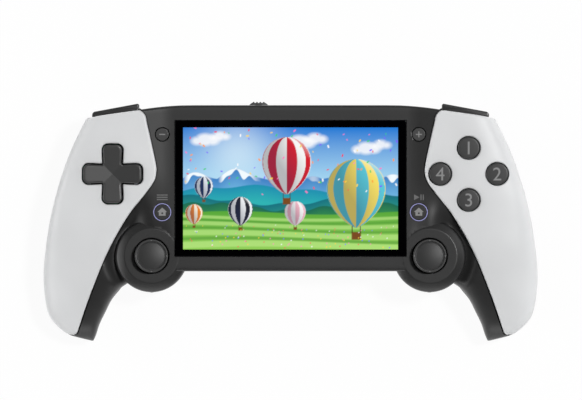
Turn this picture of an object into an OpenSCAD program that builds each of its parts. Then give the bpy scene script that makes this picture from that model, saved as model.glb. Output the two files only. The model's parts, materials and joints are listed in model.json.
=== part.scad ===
// Handheld game console lying on its back: X to the right, Y to the top edge, Z out of the screen.
// Lengths are in millimetres. The origin is on the table, under the middle of the console.

/* [Screen] */
// Width of the lit picture
picture_w = 95; // [85:0.5:105]
// Height of the lit picture
picture_h = 53.9; // [48:0.1:60]
// Black border of the lens beside the picture
lens_side = 3.7; // [2:0.1:6]
// Black border of the lens above and below the picture
lens_over = 3.15; // [2:0.05:5]
// Thickness of the cover lens
lens_t = 1.1; // [0.8:0.1:1.2]
// Thickness of the tape under the lens
tape_t = 0.2; // [0.1:0.05:0.3]
// How far the display panel reaches past the lens at each side
panel_side = 0.4; // [0.2:0.1:0.8]
// How far the display panel reaches past the lens above and below
panel_over = 2.4; // [1:0.1:3]
// Thickness of the display panel
panel_t = 2.9; // [2:0.1:3.2]
// Thickness of the steel tray behind the panel
tray_t = 0.4; // [0.3:0.1:0.6]
// Screen centre above the middle of the console
screen_y = 14.6; // [13:0.1:16]

/* [Body] */
// Dark border above the lens
top_border = 6.7; // [6:0.1:9]
// Dark border below the lens
bottom_border = 6.5; // [6:0.1:9]
// Level of the front face
front_z = 32; // [31:0.1:34]
// Level of the middle back face
back_z = 13; // [11:0.1:14]
// Level of the parting line of the middle body
part_z = 17; // [16:0.1:17.5]
// Where the front face begins to fall, inward of the lens's side edge
fall_start = 3.2; // [0:0.1:6]
// How far the front face falls ten millimetres further out
side_fall = 1.11; // [0.6:0.01:1.5]
// Slope at which the front face climbs to the upper part of each wing.
side_rise = 0.07; // [0:0.01:0.1]
// Wall thickness of the shells
wall = 2; // [1.6:0.1:2.2]
// Gap along the line between two shells
seam = 0.15; // [0.1:0.05:0.3]
// Chamfer of the body's long edges
edge_chamfer = 1; // [0.4:0.1:1.6]

/* [Grips] */
// Width of a side, from the lens to the widest place of the grip
side_w = 58.3; // [52:0.1:66]
// Height of a grip, from its tip to the body's top edge
grip_tall = 104.35; // [94:0.05:115]
// Height of a grip's crest above its parting line
grip_front = 15.7; // [15:0.1:16.4]
// Thickness of the white wing covers
wing_t = 2; // [1.6:0.1:2.2]

/* [Sticks] */
// Stick centre beside the lens, as a share of the side's width
stick_share = 0.1767; // [0.15:0.0001:0.2]
// Stick centre above the body's bottom edge
stick_up = 6.8; // [5:0.1:9]
// Diameter of the stick boss at its top
boss_top_d = 24.2; // [22:0.1:26]
// Diameter of the stick boss at its foot
boss_foot_d = 32.2; // [30:0.1:34]
// Height of the boss's sloped flank
boss_flank = 5; // [3:0.1:7]
// Diameter of the stick's hole
stick_hole_d = 15.8; // [15:0.1:17]
// Diameter of the thumb cap
cap_d = 14.7; // [13:0.1:15]
// Level of the stick's pivot
pivot_z = 23; // [22.6:0.1:23.4]
// Level of the thumb cap's underside
cap_z = 35; // [34.8:0.1:37]
// Height of the thumb cap's rim
cap_h = 1.6; // [1:0.1:2.5]
// Width of the square stick base
base_w = 18; // [17.6:0.1:18.4]
// Diameter of the stick shaft
shaft_d = 3.2; // [2.6:0.1:3.4]
// Radius of the dome that closes the stick's hole
dome_r = 9.6; // [9.2:0.1:9.8]

/* [Buttons] */
// Centre of the direction pad and of the face buttons, as a share of the side's width
cluster_share = 0.4717; // [0.45:0.0001:0.5]
// Centre of the direction pad and of the face buttons above the screen's centre
cluster_up = 6.4; // [4:0.1:8]
// Face button centre from the cluster centre, sideways
face_step_x = 12.6; // [12:0.1:13]
// Face button centre from the cluster centre, up
face_step_y = 11.5; // [11:0.1:12.5]
// Diameter of a face button
face_d = 9.6; // [8.5:0.1:10]
// How far a face button stands above its wing
face_proud = 1.3; // [0.8:0.1:2]
// Span of the direction pad
pad_span = 26; // [24:0.1:27]
// Width of a direction pad arm near the middle
pad_arm = 8.1; // [7:0.1:9]
// How much wider an arm is at its tip
pad_flare = 0.8; // [0:0.1:1.2]
// Radius of the arm's tip corners
pad_corner = 2.4; // [1:0.1:3]
// Gap around a button
button_gap = 0.4; // [0.3:0.05:0.6]
// Plus, minus and home button centres beside the lens
menu_out = 5.5; // [5.3:0.1:6]
// Plus and minus button centre above the screen's centre
menu_up = 23.9; // [22:0.1:25]
// Diameter of the plus and minus buttons
menu_d = 5.7; // [5:0.1:6]
// Home button centre below the screen's centre
home_down = 10.5; // [9:0.1:12]
// Diameter of a home button
home_d = 6.6; // [6:0.1:6.8]
// Outer diameter of a light ring
ring_d = 8.1; // [8:0.1:8.4]

/* [Shoulders] */
// Inner end of a bumper beside the lens, as a share of the side's width
shoulder_share = 0.26415; // [0.25:0.00005:0.28]
// Reference line of a bumper below the body's top edge
shoulder_down = 0.8; // [0.2:0.1:1.4]
// Slope of the bumpers in degrees
shoulder_turn = 10.5; // [9:0.5:12]
// Length of a bumper
bumper_l = 21.6; // [20:0.1:22.5]
// Level of the bumper's front
bumper_top = 28.2; // [27:0.1:28.4]
// Level of the bumper's underside
bumper_low = 20.4; // [20.2:0.1:21]
// Lowest level of a trigger
trigger_low = 3.4; // [2:0.1:6]
// Diameter of the shoulder pins
pin_d = 2; // [1.6:0.1:2.2]

/* [Fits] */
// Radial running clearance of a pin
pin_gap = 0.05; // [0.03:0.01:0.08]
// Radial room around a screw
screw_gap = 0.15; // [0.1:0.05:0.2]
// Space between pieces that lie on each other
lay = 0.1; // [0.05:0.05:0.15]

/* [Inside] */
// Thickness of the circuit boards
board_t = 1.2; // [1:0.1:1.4]
// Level of the main board's underside
board_z = 22.2; // [22:0.1:22.4]
// Width of the battery
battery_w = 62; // [50:1:66]
// Height of the battery
battery_h = 35; // [30:1:36]
// Thickness of the battery
battery_t = 5.4; // [4:0.1:5.8]
// Power slider centre from the middle
slider_x = -14.1; // [-20:0.1:-12]
// Power slider travel
slider_travel = 2; // [1:0.1:2.5]
// Headphone jack centre from the middle
jack_x = 24; // [18:0.5:40]
// Bore of the headphone jack
jack_bore_d = 3.6; // [3.55:0.05:3.8]

/* [Hidden] */
$fn = 48;

shell_grey = "#3a3a3a";
wing_white = "#dcdde0";
button_grey = "#474747";
board_green = "#1f4a38";
steel = "#a9adb2";
far = 2 * grip_tall;
near_zero = 0.05;

lens_w = picture_w + 2 * lens_side;
lens_h = picture_h + 2 * lens_over;
lens_half = lens_w / 2;
panel_w = lens_w + 2 * panel_side;
panel_h = lens_h + 2 * panel_over;
body_top = screen_y + lens_h / 2 + top_border;
body_bottom = screen_y - lens_h / 2 - bottom_border;
flat_half = lens_half - fall_start;
grip_reach = lens_half + side_w;
tip_y = body_top - grip_tall;
stick_x = lens_half + stick_share * side_w;
stick_y = body_bottom + stick_up;
cluster_x = lens_half + cluster_share * side_w;
cluster_y = screen_y + cluster_up;
menu_x = lens_half + menu_out;
menu_y = screen_y + menu_up;
home_y = screen_y - home_down;
shoulder_x = lens_half + shoulder_share * side_w;
shoulder_y = body_top - shoulder_down;

// Curves of the right grip. Each pair is a height above the tip, as a share of the grip's height,
// and a distance in from the widest place, as a share of the side's width.
outer_line = [for (p = [[0, 0.3654], [0.0225, 0.211], [0.0474, 0.1338], [0.0982, 0.0515],
    [0.149, 0.0206], [0.2516, 0], [0.3522, 0.0086], [0.5046, 0.048], [0.6579, 0.1149],
    [0.8103, 0.211], [0.953, 0.3345], [1.0158, 0.3928]
    ]) [grip_tall * p[0], grip_reach - side_w * p[1]]];
front_inner = [for (p = [[0, 0.3774], [0.0225, 0.3962], [0.0733, 0.4271], [0.1241, 0.4717],
    [0.1749, 0.518], [0.2257, 0.5901], [0.2587, 0.6775], [0.3162, 0.7719], [0.4121, 0.952],
    [0.5462, 1.2607], [0.6229, 1.4666], [0.725, 1.5798], [0.8529, 1.4082], [0.9583, 1.2298],
    [1.0158, 1.1492]]) [grip_tall * p[0], grip_reach - side_w * p[1]]];
rear_inner = [for (p = [[0, 0.3774], [0.0225, 0.3962], [0.0733, 0.4271], [0.1241, 0.4717],
    [0.1749, 0.518], [0.2257, 0.5901], [0.2779, 0.6604], [0.3642, 0.7204], [0.5079, 0.7633],
    [0.6996, 0.7804], [0.8433, 0.7633], [1.0158, 0.7118]
    ]) [grip_tall * p[0], grip_reach - side_w * p[1]]];
split_line = [for (p = [[0, 0.2436], [0.0388, 0.2676], [0.1912, 0.3636], [0.3436, 0.47],
    [0.4451, 0.5592], [0.5477, 0.6724], [0.6234, 0.7822], [0.6794, 0.8508], [0.725, 0.8679],
    [0.7667, 0.8576], [0.8529, 0.825], [0.9478, 0.7873], [1.0158, 0.765]
    ]) [grip_tall * p[0], grip_reach - side_w * p[1]]];
// Here each pair is such a height and a level in millimetres.
front_depth = [for (p = [[0, 14.3], [0.0062, 11.5], [0.0225, 8.5], [0.0474, 6], [0.0762, 4.5],
    [0.1246, 3.5], [0.1725, 3], [0.2779, 2.4], [0.3929, 1.85], [0.4791, 1.45], [0.5462, 0.9],
    [0.6229, 0.35], [0.69, 0.05], [0.7667, 0], [1.0158, 0]
    ]) [grip_tall * p[0], grip_front - p[1]]];
part_level = [for (p = [[0, 7.5], [0.0767, 6], [0.1725, 3.5], [0.2779, 1.4], [0.3929, 0.2],
    [0.5079, 0], [1.0158, 0]]) [grip_tall * p[0], part_z - p[1]]];
back_level = [for (p = [[0, 8.1], [0.0062, 5.8], [0.0225, 3.5], [0.0474, 1.6], [0.0762, 0.5],
    [0.1246, -0.3], [0.1725, -0.6], [0.5942, -0.6], [0.6517, -0.4], [0.7187, 0.8],
    [0.7762, 3.2], [0.8337, 7.2], [0.8912, 11], [0.9487, 12.7], [1.0158, back_z]
    ]) [grip_tall * p[0], p[1]]];
// Here each pair is such a height and the power of the rounded section.
fullness = [for (p = [[0, 2.4], [0.1725, 2.5], [0.3162, 2.9], [0.4312, 3.8], [0.5462, 5],
    [0.6229, 6], [1.0158, 6]]) [grip_tall * p[0], p[1]]];
back_fullness = 2.4;
// How far the dark front sinks below the wing's surface beside the middle face.
dark_sink = [for (p = [[0, 0], [0.345, 0], [0.4121, 0], [0.4792, 0.65], [0.5462, 2],
    [0.5942, 3.5], [0.6325, 4.4]]) [grip_tall * p[0], p[1]]];
dark_top = 0.6325 * grip_tall;

tip_rows = 7;
tip_run = 0.1917 * grip_tall;
upper_rows = 13;
grip_top = grip_tall + 0.65;
columns = 16;
shell_round = 28;
row_heights = concat([for (i = [0:tip_rows - 1]) near_zero + tip_run * pow(i / tip_rows, 2)],
    [for (i = [0:upper_rows]) tip_run + (grip_top - tip_run) * i / upper_rows]);

function slope_at(p, k) = let (a = max(0, k - 1), b = min(len(p) - 1, k + 1))
    (p[b][1] - p[a][1]) / (p[b][0] - p[a][0]);
function span_of(p, h, k = 0) = k >= len(p) - 2 || h < p[k + 1][0] ? k : span_of(p, h, k + 1);
function along(p, h) = let (k = span_of(p, h), d = p[k + 1][0] - p[k][0], t = (h - p[k][0]) / d)
    (2 * t * t * t - 3 * t * t + 1) * p[k][1] + (t * t * t - 2 * t * t + t) * slope_at(p, k) * d
    + (3 * t * t - 2 * t * t * t) * p[k + 1][1] + (t * t * t - t * t) * slope_at(p, k + 1) * d;
function signed_pow(v, e) = sign(v) * pow(abs(v), e);
function middle(inner, h) = (along(outer_line, h) + along(inner, h)) / 2;
function half(inner, h, inset) = max(near_zero, (along(outer_line, h) - along(inner, h)) / 2 - inset);

// Level of the front surface of the right grip at a place, moved inward by an inset.
function grip_level(x, y, inset = 0) = let (h = y - tip_y, e = along(fullness, h),
    u = min(0.999, abs(x - middle(front_inner, h)) / half(front_inner, h, inset)))
    along(part_level, h) + (along(front_depth, h) - inset) * pow(1 - pow(u, e), 1 / e);
// Level of the middle front face at a place: low on it falls away beside the sticks, and higher up
// it climbs to the wings.
rise_from = lens_half + fall_start;
fall_rows = [stick_y + 13, stick_y + 29];
rise_rows = [home_y, home_y + 20];
function eased(v, span) = let (t = max(0, min(1, (v - span[0]) / (span[1] - span[0])))) t * t * (3 - 2 * t);
function face_level(x, y) = front_z
    - side_fall * (1 - eased(y, fall_rows)) * pow(max(0, abs(x) - flat_half) / 10, 2)
    + side_rise * eased(y, rise_rows) * max(0, abs(x) - rise_from);

function front_row(h, inset, deep, sink = 0) = let (c = middle(front_inner, h),
    a = half(front_inner, h, inset), b = max(near_zero, along(front_depth, h) - inset - sink),
    e = 2 / along(fullness, h), z = along(part_level, h))
    concat(deep > 0 ? [[c + a, tip_y + h, z - deep]] : [],
    [for (i = [0:columns]) let (f = 180 * i / columns)
        [c + a * signed_pow(cos(f), e), tip_y + h, z + b * pow(max(0, sin(f)), e)]],
    deep > 0 ? [[c - a, tip_y + h, z - deep]] : []);
function rear_row(h, inset, rise) = let (c = middle(rear_inner, h), a = half(rear_inner, h, inset),
    z = along(part_level, h) - lay, b = max(near_zero, z - along(back_level, h) - inset),
    e = 2 / back_fullness)
    concat(rise > 0 ? [[c - a, tip_y + h, z + rise]] : [],
    [for (i = [0:columns]) let (f = 180 * i / columns)
        [c - a * signed_pow(cos(f), e), tip_y + h, z - b * pow(max(0, sin(f)), e)]],
    rise > 0 ? [[c + a, tip_y + h, z + rise]] : []);

module loft(rows) {
    n = len(rows);
    m = len(rows[0]);
    polyhedron(points = [for (r = rows) each r], faces = concat(
        [for (i = [0:n - 2], j = [0:m - 1]) [i * m + j, i * m + (j + 1) % m, (i + 1) * m + j]],
        [for (i = [0:n - 2], j = [0:m - 1])
            [i * m + (j + 1) % m, (i + 1) * m + (j + 1) % m, (i + 1) * m + j]],
        [[for (j = [0:m - 1]) m - 1 - j]],
        [[for (j = [0:m - 1]) (n - 1) * m + j]]));
}

function kept_rows(inset) = [for (h = row_heights) if (h > 1.6 * inset) h];

module grip_front_solid(inset = 0, deep = 0) {
    loft([for (h = kept_rows(inset)) front_row(h, inset, deep)]);
}

// The dark part of a grip's front: it ends under the middle face.
module dark_grip_solid(inset = 0, deep = 0) {
    loft([for (h = kept_rows(inset)) if (h < dark_top) front_row(h, inset, deep, along(dark_sink, h))]);
}

module grip_rear_solid(inset = 0, rise = 0) {
    loft([for (h = kept_rows(inset)) rear_row(h, inset, rise)]);
}

module both_sides() {
    children();
    mirror([1, 0, 0]) children();
}

module on_left() {
    mirror([1, 0, 0]) children();
}

// Regions in plan that share the front between the wings and the dark shell.
wing_low = 2.2;
wing_corner = 3.5;
corner_h = 0.9478 * grip_tall;
corner_x = split_at(corner_h) + wing_corner;
corner_y = tip_y + corner_h;
split_steps = 24;
wing_fall = 0.136;
function split_at(h) = along(split_line, h);
function split_points(shift) = [for (i = [0:split_steps])
    let (h = wing_low + (corner_h - wing_low) * i / split_steps) [split_at(h) + shift, tip_y + h]];
function corner_points(shift) = [for (f = [174:-12:102]) [corner_x + (wing_corner - shift) * cos(f),
    corner_y + (wing_corner - shift) * sin(f)]];
function wing_top_at(x) = corner_y + wing_corner - wing_fall * (x - corner_x);

module wing_region() {
    linear_extrude(front_z + 10) polygon(concat(split_points(seam), corner_points(seam),
        [[corner_x, wing_top_at(corner_x) - seam], [far, wing_top_at(far) - seam],
            [far, tip_y + wing_low]]));
}

module dark_region() {
    both_sides() linear_extrude(front_z + 10) polygon(concat([[-1, tip_y - 5], [far, tip_y - 5],
        [far, tip_y + wing_low - seam]], split_points(0), corner_points(0),
        [[shoulder_x - seam, wing_top_at(shoulder_x)], [shoulder_x - seam, body_top + 5],
            [-1, body_top + 5]]));
}

// Side of the middle body, which lies under the wing.
x_side = lens_half + 0.3568 * side_w;

module body_plan(inset = 0) {
    sag = 0.5;
    drop = 1.9;
    straight = 6.6;
    bend = 3.8;
    both_sides() polygon([[-1, body_bottom + inset], [x_side - inset, body_bottom + inset],
        [x_side - inset, body_top - 11.4], [shoulder_x - seam - inset, body_top - 7.4],
        [shoulder_x - seam - inset, body_top - drop - inset],
            [lens_half + bend, body_top - sag - inset],
        [lens_half - straight, body_top - inset], [-1, body_top - inset]]);
}

face_rows = let (low = fall_rows[0], run = rise_rows[1] - fall_rows[0], n = 10)
    concat([-far], [for (i = [0:n]) low + run * i / n], [far]);
face_columns = let (n = 5, run = x_side - rise_from)
    concat([for (i = [0:n]) x_side - run * i / n], [(rise_from + flat_half) / 2, flat_half]);
last_column = len(face_columns) - 1;

module face_profile(drop, low) {
    loft([for (y = face_rows) concat([[x_side, y, low]],
        [for (x = face_columns) [x, y, face_level(x, y) - drop]],
        [for (i = [last_column:-1:0]) let (x = -face_columns[i]) [x, y, face_level(x, y) - drop]],
        [[-x_side, y, low]])]);
}

module edge_profile(low, high) {
    c = edge_chamfer;
    rotate([90, 0, 90]) translate([0, 0, -far]) linear_extrude(2 * far)
        polygon([[body_bottom, low], [body_top, low], [body_top, high - c],
        [body_top - 4 * c, high + 3 * c], [body_bottom + 4 * c, high + 3 * c],
            [body_bottom, high - c]]);
}

module front_block() {
    intersection() {
        linear_extrude(2 * front_z) body_plan();
        face_profile(0, part_z - 2);
        edge_profile(part_z - 2, front_z);
    }
}

module front_block_hollow() {
    intersection() {
        linear_extrude(front_z) body_plan(wall);
        face_profile(wall, part_z - 1);
    }
}

boss_foot_z = front_z - boss_flank;

module boss_solid(inset, low) {
    translate([stick_x, stick_y, low])
        cylinder(d = boss_foot_d - 2 * inset, h = boss_foot_z - inset - low);
    translate([stick_x, stick_y, boss_foot_z - inset])
        cylinder(d1 = boss_foot_d - 2 * inset, d2 = boss_top_d - 2 * inset, h = boss_flank);
}

// Screws through the rear shell: place and level where the shells meet there.
screw_shank_d = 2.2;
screw_head_d = 4;
screw_head_h = 1.3;
screw_bite = 7;
screw_seat = 2.4;
screw_wall = 1.2;
pillar_d = 4.8;
screw_lane = lens_half + 3.4;
body_screws = [[screw_lane, body_top - 6], [stick_x, stick_y - 13.1]];
// Heights above the tip as shares of the grip's height, and distances in from the outer edge.
grip_screws = [for (p = [[0.2391, 12.5], [0.5458, 7.8]])
    [along(outer_line, grip_tall * p[0]) - p[1], tip_y + grip_tall * p[0]]];
all_screws = concat([for (p = body_screws) [p[0], p[1], part_z]],
    [for (p = grip_screws) [p[0], p[1], along(part_level, p[1] - tip_y)]]);

module at_screws(list) {
    for (p = list, s = [-1, 1]) translate([s * p[0], p[1], 0]) children();
}

// Posts that carry the main board, hung from the front face.
post_d = 3.6;
post_rows = [15.4, -0.6];
board_post = [for (y = post_rows) [screw_lane, screen_y + y]];
board_top = board_z + board_t;
tact_h = 2;

window_w = picture_w + 2;
window_h = picture_h + 2;
pocket_gap = 0.15;
lens_seat = front_z - lens_t - tape_t;
jack_w = 6;
jack_z = board_z - 2.6;
port_w = 9;
port_h = 3.2;
port_x = 0;
port_room = 0.25;
port_l = 7.4;
card_w = 14;
card_open_w = 11.6;
card_open_h = 1.4;
card_h = 2;
slider_z = board_top + 1.3;
slider_stem_w = 3;
slider_stem_h = 1.6;
snap_w = 4;
snap_h = 2;
snap_t = 1;

module front_snap(x, y, inward) {
    hull() {
        translate([x, y + inward * (snap_t - 0.3), part_z + snap_h + 1])
            cube([snap_w, 2 * snap_t, snap_h], center = true);
        translate([x, y + inward * (snap_t / 2 + 4 * lay), part_z + lay])
            cube([snap_w, snap_t, snap_h], center = true);
    }
}

module front_snaps() {
    for (f = [-0.742, -0.527, 0.645, 0.801]) front_snap(f * lens_half, body_top - wall, -1);
    for (f = [-0.82, -0.391, 0.391, 0.82]) front_snap(f * lens_half, body_bottom + wall, 1);
}

// Wall that closes the middle body beside a bumper, under the wing.
cheek_reach = 8.2;
cheek_drop = 10;

module shoulder_cheek() {
    translate([shoulder_x - seam - wall, body_top - cheek_drop, bumper_low])
        cube([wall, cheek_reach, bumper_top - bumper_low]);
}

module front_shell() {
    $fn = shell_round;
    color(shell_grey) difference() {
        union() {
            difference() {
                intersection() {
                    union() {
                        difference() {
                            union() {
                                front_block();
                                both_sides() boss_solid(0, part_z - 2);
                            }
                            translate([-far, -far, 0]) cube([2 * far, 2 * far, part_z]);
                        }
                        both_sides() difference() {
                            dark_grip_solid();
                            translate([stick_x, stick_y, back_z])
                                cylinder(d = boss_foot_d + 2 * lay, h = part_z - back_z);
                        }
                    }
                    dark_region();
                }
                front_block_hollow();
                both_sides() dark_grip_solid(wall, 1);
                both_sides() boss_solid(wall, back_z);
            }
            intersection() {
                at_screws(body_screws) translate([0, 0, part_z]) cylinder(d = pillar_d, h = front_z);
                union() {
                    front_block();
                    both_sides() boss_solid(wall / 2, part_z);
                }
                face_profile(wall / 2, part_z);
            }
            both_sides() shoulder_cheek();
            at_screws(board_post) translate([0, 0, board_top])
                cylinder(d = post_d, h = face_level(screw_lane, screen_y) - wall / 2 - board_top);
            front_snaps();
        }
        translate([0, screen_y, front_z])
            cube([lens_w + 2 * pocket_gap, lens_h + 2 * pocket_gap, 2 * (lens_t + tape_t)],
            center = true);
        translate([0, screen_y, front_z]) cube([window_w, window_h, 4 * wall], center = true);
        both_sides() translate([stick_x, stick_y, part_z]) cylinder(d = stick_hole_d, h = front_z);
        both_sides() translate([menu_x, menu_y, board_top])
            cylinder(d = menu_d + 2 * button_gap, h = front_z);
        both_sides() translate([menu_x, home_y, board_top])
            cylinder(d = ring_d + 2 * pocket_gap, h = front_z);
        at_screws(body_screws) translate([0, 0, part_z - 1])
            cylinder(d = screw_shank_d + 2 * screw_gap, h = screw_bite + 2);
        at_screws(board_post) translate([0, 0, board_top - 1])
            cylinder(d = small_screw_d + 2 * screw_gap, h = small_screw_l + 1.5);
        translate([port_x, body_top, board_z - port_h / 2]) rotate([90, 0, 0])
            port_outline(port_room, 3 * wall);
        translate([jack_x, body_top + wall, jack_z]) rotate([90, 0, 0])
            cylinder(d = jack_w + 2 * port_room, h = 3 * wall);
        translate([slider_x + slider_travel / 2, body_top, slider_z])
            cube([slider_stem_w + slider_travel + 4 * port_room, 3 * wall,
                slider_stem_h + 4 * port_room], center = true);
        translate([0, body_bottom, board_z - card_h / 2])
            cube([card_open_w + 1, 3 * wall, card_open_h + 0.4], center = true);
    }
}

module port_outline(grow, depth) {
    r = port_h / 2;
    linear_extrude(depth, center = true) {
        square([port_w - port_h + 2 * near_zero, port_h + 2 * grow], center = true);
        for (s = [-1, 1]) translate([s * (port_w / 2 - r), 0]) circle(r = r + grow);
    }
}

// Hooks along the outer rim that reach behind the rear shell's rim.
hook_w = 3;
hook_t = 1.1;
hook_heights = [for (f = [0.23, 0.297, 0.364, 0.45, 0.527, 0.594, 0.661, 0.728]) f * grip_tall];

module wing_hooks() {
    for (h = hook_heights)
        let (x = min(along(outer_line, h - hook_w / 2), along(outer_line, h + hook_w / 2)) - wing_t,
        z = along(part_level, h)) hull() {
        translate([x - hook_t / 2 - 0.1, tip_y + h, z + 2])
            cube([hook_t + 0.4, hook_w, 2], center = true);
        translate([x - hook_t / 2 - 0.6, tip_y + h, z - 1]) cube([hook_t, hook_w, 1], center = true);
    }
}

notch_room = 0.8;

module wing(with_pad) {
    $fn = shell_round;
    difference() {
        union() {
            difference() {
                intersection() {
                    grip_front_solid();
                    wing_region();
                }
                grip_front_solid(wing_t, 1);
            }
            intersection() {
                union() {
                    for (p = cluster_posts) translate([p[0], p[1], cluster_board_top])
                        cylinder(d = post_d, h = front_z);
                    for (p = grip_screws) translate([p[0], p[1], along(part_level, p[1] - tip_y)])
                        cylinder(d = pillar_d, h = front_z);
                }
                grip_front_solid(wing_t / 2);
            }
            wing_hooks();
        }
        at_shoulder() translate([bumper_root, bumper_slim - 1.3, bumper_low - 4 * lay])
            cube([bumper_l + notch_room - bumper_root, far, bumper_top - bumper_low + 8 * lay]);
        for (p = cluster_posts) translate([p[0], p[1], cluster_board_top - 1])
            cylinder(d = small_screw_d + 2 * screw_gap, h = small_screw_l + 1.5);
        for (p = grip_screws) translate([p[0], p[1], 0])
            cylinder(d = screw_shank_d + 2 * screw_gap,
            h = along(part_level, p[1] - tip_y) + screw_bite + 1);
        if (with_pad)
            translate([cluster_x, cluster_y, part_z]) linear_extrude(front_z)
                polygon(pad_outline(pad_gap));
        else
            for (p = face_places) translate([p[0], p[1], part_z])
                cylinder(d = face_d + 2 * button_gap, h = front_z);
    }
}

module left_wing() {
    color(wing_white) on_left() wing(true);
}

module right_wing() {
    color(wing_white) wing(false);
}

// Shoulder frame on the right: X along the bumper, Y outward.
module at_shoulder() {
    translate([shoulder_x, shoulder_y, 0]) rotate([0, 0, -shoulder_turn]) children();
}

pocket_wall = -5.5;
hinge_y = -3.2;
hinge_z = 17.4;
ear_t = 1.8;
ear_r = 2;
ear_x = [2.4, bumper_l - 2.4];
bumper_pin = [3.2, -4.2];
pin_foot = hinge_z + ear_r - 0.6;

module shoulder_room(shift) {
    at_shoulder() translate([-1 + shift, pocket_wall - shift, -1]) cube([far, far, 2 * front_z]);
}

module trigger_ears() {
    at_shoulder() for (x = ear_x) {
        translate([x, hinge_y, hinge_z]) rotate([0, 90, 0]) cylinder(r = ear_r, h = ear_t);
        translate([x, pocket_wall - wall / 2, hinge_z - ear_r])
            cube([ear_t, hinge_y - pocket_wall + wall / 2, 2 * ear_r]);
    }
    at_shoulder() translate([ear_x[0], pocket_wall - wall, hinge_z - ear_r])
        cube([ear_x[1] - ear_x[0] + ear_t, wall, 2 * ear_r]);
    at_shoulder() translate([bumper_pin[0] - 0.8, bumper_pin[1], hinge_z])
        cylinder(r = ear_t, h = bumper_low - 2 * lay - hinge_z);
}

module rear_block(inset = 0) {
    high = part_z + 3;
    c = 2 * edge_chamfer - (2 - sqrt(2)) * inset;
    intersection() {
        translate([0, 0, back_z + inset]) linear_extrude(high - back_z - inset) body_plan(inset);
        rotate([90, 0, 90]) translate([0, 0, -far]) linear_extrude(2 * far)
            polygon([[body_bottom + inset, high], [body_top - inset, high],
                [body_top - inset, back_z + c + inset],
            [body_top - c - inset, back_z + inset], [body_bottom + c + inset, back_z + inset],
            [body_bottom + inset, back_z + c + inset]]);
    }
}

module rear_lobe(inset = 0) {
    high = part_z + 3;
    c = edge_chamfer;
    translate([stick_x, stick_y, back_z + inset])
        cylinder(d1 = boss_foot_d - 2 * inset - 2 * c, d2 = boss_foot_d - 2 * inset, h = c);
    translate([stick_x, stick_y, back_z + inset + c])
        cylinder(d = boss_foot_d - 2 * inset, h = high - back_z - inset - c);
}

speaker_x = lens_half - 12.2;
speaker_y = body_bottom + 11;
speaker_w = 20;
speaker_d = 12;
speaker_h = 4.4;
slot_w = 1.2;
slot_l = 7;
slot_step = 2.6;

module speaker_slots() {
    for (s = [-1, 1], i = [-2:2]) hull() for (e = [-1, 1])
        translate([s * speaker_x + slot_step * i, speaker_y + e * slot_l / 2, back_z - 1])
            cylinder(d = slot_w, h = wall + 2, $fn = 16);
}

module rear_shell() {
    $fn = shell_round;
    color(shell_grey) difference() {
        union() {
            difference() {
                union() {
                    difference() {
                        union() {
                            rear_block();
                            both_sides() rear_lobe();
                        }
                        translate([-far, -far, part_z - lay]) cube([2 * far, 2 * far, far]);
                    }
                    both_sides() difference() {
                        grip_rear_solid();
                        shoulder_room(0);
                    }
                }
                rear_block(wall);
                both_sides() rear_lobe(wall);
                both_sides() difference() {
                    grip_rear_solid(wall, 1);
                    shoulder_room(wall);
                }
            }
            intersection() {
                for (p = all_screws, s = [-1, 1]) translate([s * p[0], p[1], -2])
                    cylinder(d = screw_head_d + 2 * screw_wall, h = p[2] + 2 - 2 * lay);
                union() {
                    rear_block();
                    both_sides() rear_lobe();
                    both_sides() grip_rear_solid();
                }
            }
            both_sides() trigger_ears();
        }
        for (p = all_screws, s = [-1, 1]) translate([s * p[0], p[1], -1]) {
            cylinder(d = screw_head_d + 2 * screw_gap, h = p[2] - screw_seat + 1);
            cylinder(d = screw_shank_d + 2 * screw_gap, h = part_z + 2);
        }
        speaker_slots();
        both_sides() at_shoulder() {
            translate([-2, hinge_y, hinge_z]) rotate([0, 90, 0])
                cylinder(d = pin_d + 2 * screw_gap, h = bumper_l + 6);
            translate([bumper_pin[0], bumper_pin[1], pin_foot - lay])
                cylinder(d = pin_d + 2 * screw_gap, h = 10);
        }
        translate([-far, -far, -far]) cube([2 * far, 2 * far, far]);
    }
}

module screen_lens() {
    color("#050506") translate([0, screen_y, front_z - lens_t / 2])
        cube([lens_w, lens_h, lens_t], center = true);
}

module lens_tape() {
    color("#101010") translate([0, screen_y, lens_seat + tape_t / 2]) difference() {
        cube([lens_w - 0.6, lens_h - 0.6, tape_t], center = true);
        cube([window_w, window_h, 2 * tape_t], center = true);
    }
}

panel_top = face_level(panel_w / 2, body_bottom) - wall - lay;
tray_top = panel_top - panel_t - lay;

module display_panel() {
    color("#20242a") translate([0, screen_y, panel_top - panel_t / 2])
        cube([panel_w, panel_h, panel_t], center = true);
}

module display_tray() {
    rim = 1;
    color(steel) translate([0, screen_y, tray_top - tray_t / 2]) difference() {
        cube([panel_w - rim, panel_h - rim, tray_t], center = true);
        for (s = [-1, 1]) translate([s * panel_w / 4, 0, 0])
            cube([panel_w / 4, panel_h / 3, 2 * tray_t], center = true);
    }
}

ribbon_t = 0.2;
ribbon_w = 22;
ribbon_turn = 1.75;
ribbon_y = screen_y - panel_h / 2;
ribbon_z = panel_top - panel_t / 2;
connector_h = ribbon_z - 2 * ribbon_turn - ribbon_t - board_top - near_zero;
connector_l = 4;
ribbon_run = 8;

module display_ribbon() {
    color("#b5792f") translate([-ribbon_w / 2, ribbon_y - lay, ribbon_z - ribbon_turn])
        rotate([90, 0, 90]) linear_extrude(ribbon_w) {
        difference() {
            circle(r = ribbon_turn + ribbon_t / 2);
            circle(r = ribbon_turn - ribbon_t / 2);
            translate([0, -far]) square([far, 2 * far]);
        }
        translate([-near_zero, -ribbon_turn - ribbon_t / 2]) square([ribbon_run, ribbon_t]);
    }
}

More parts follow.
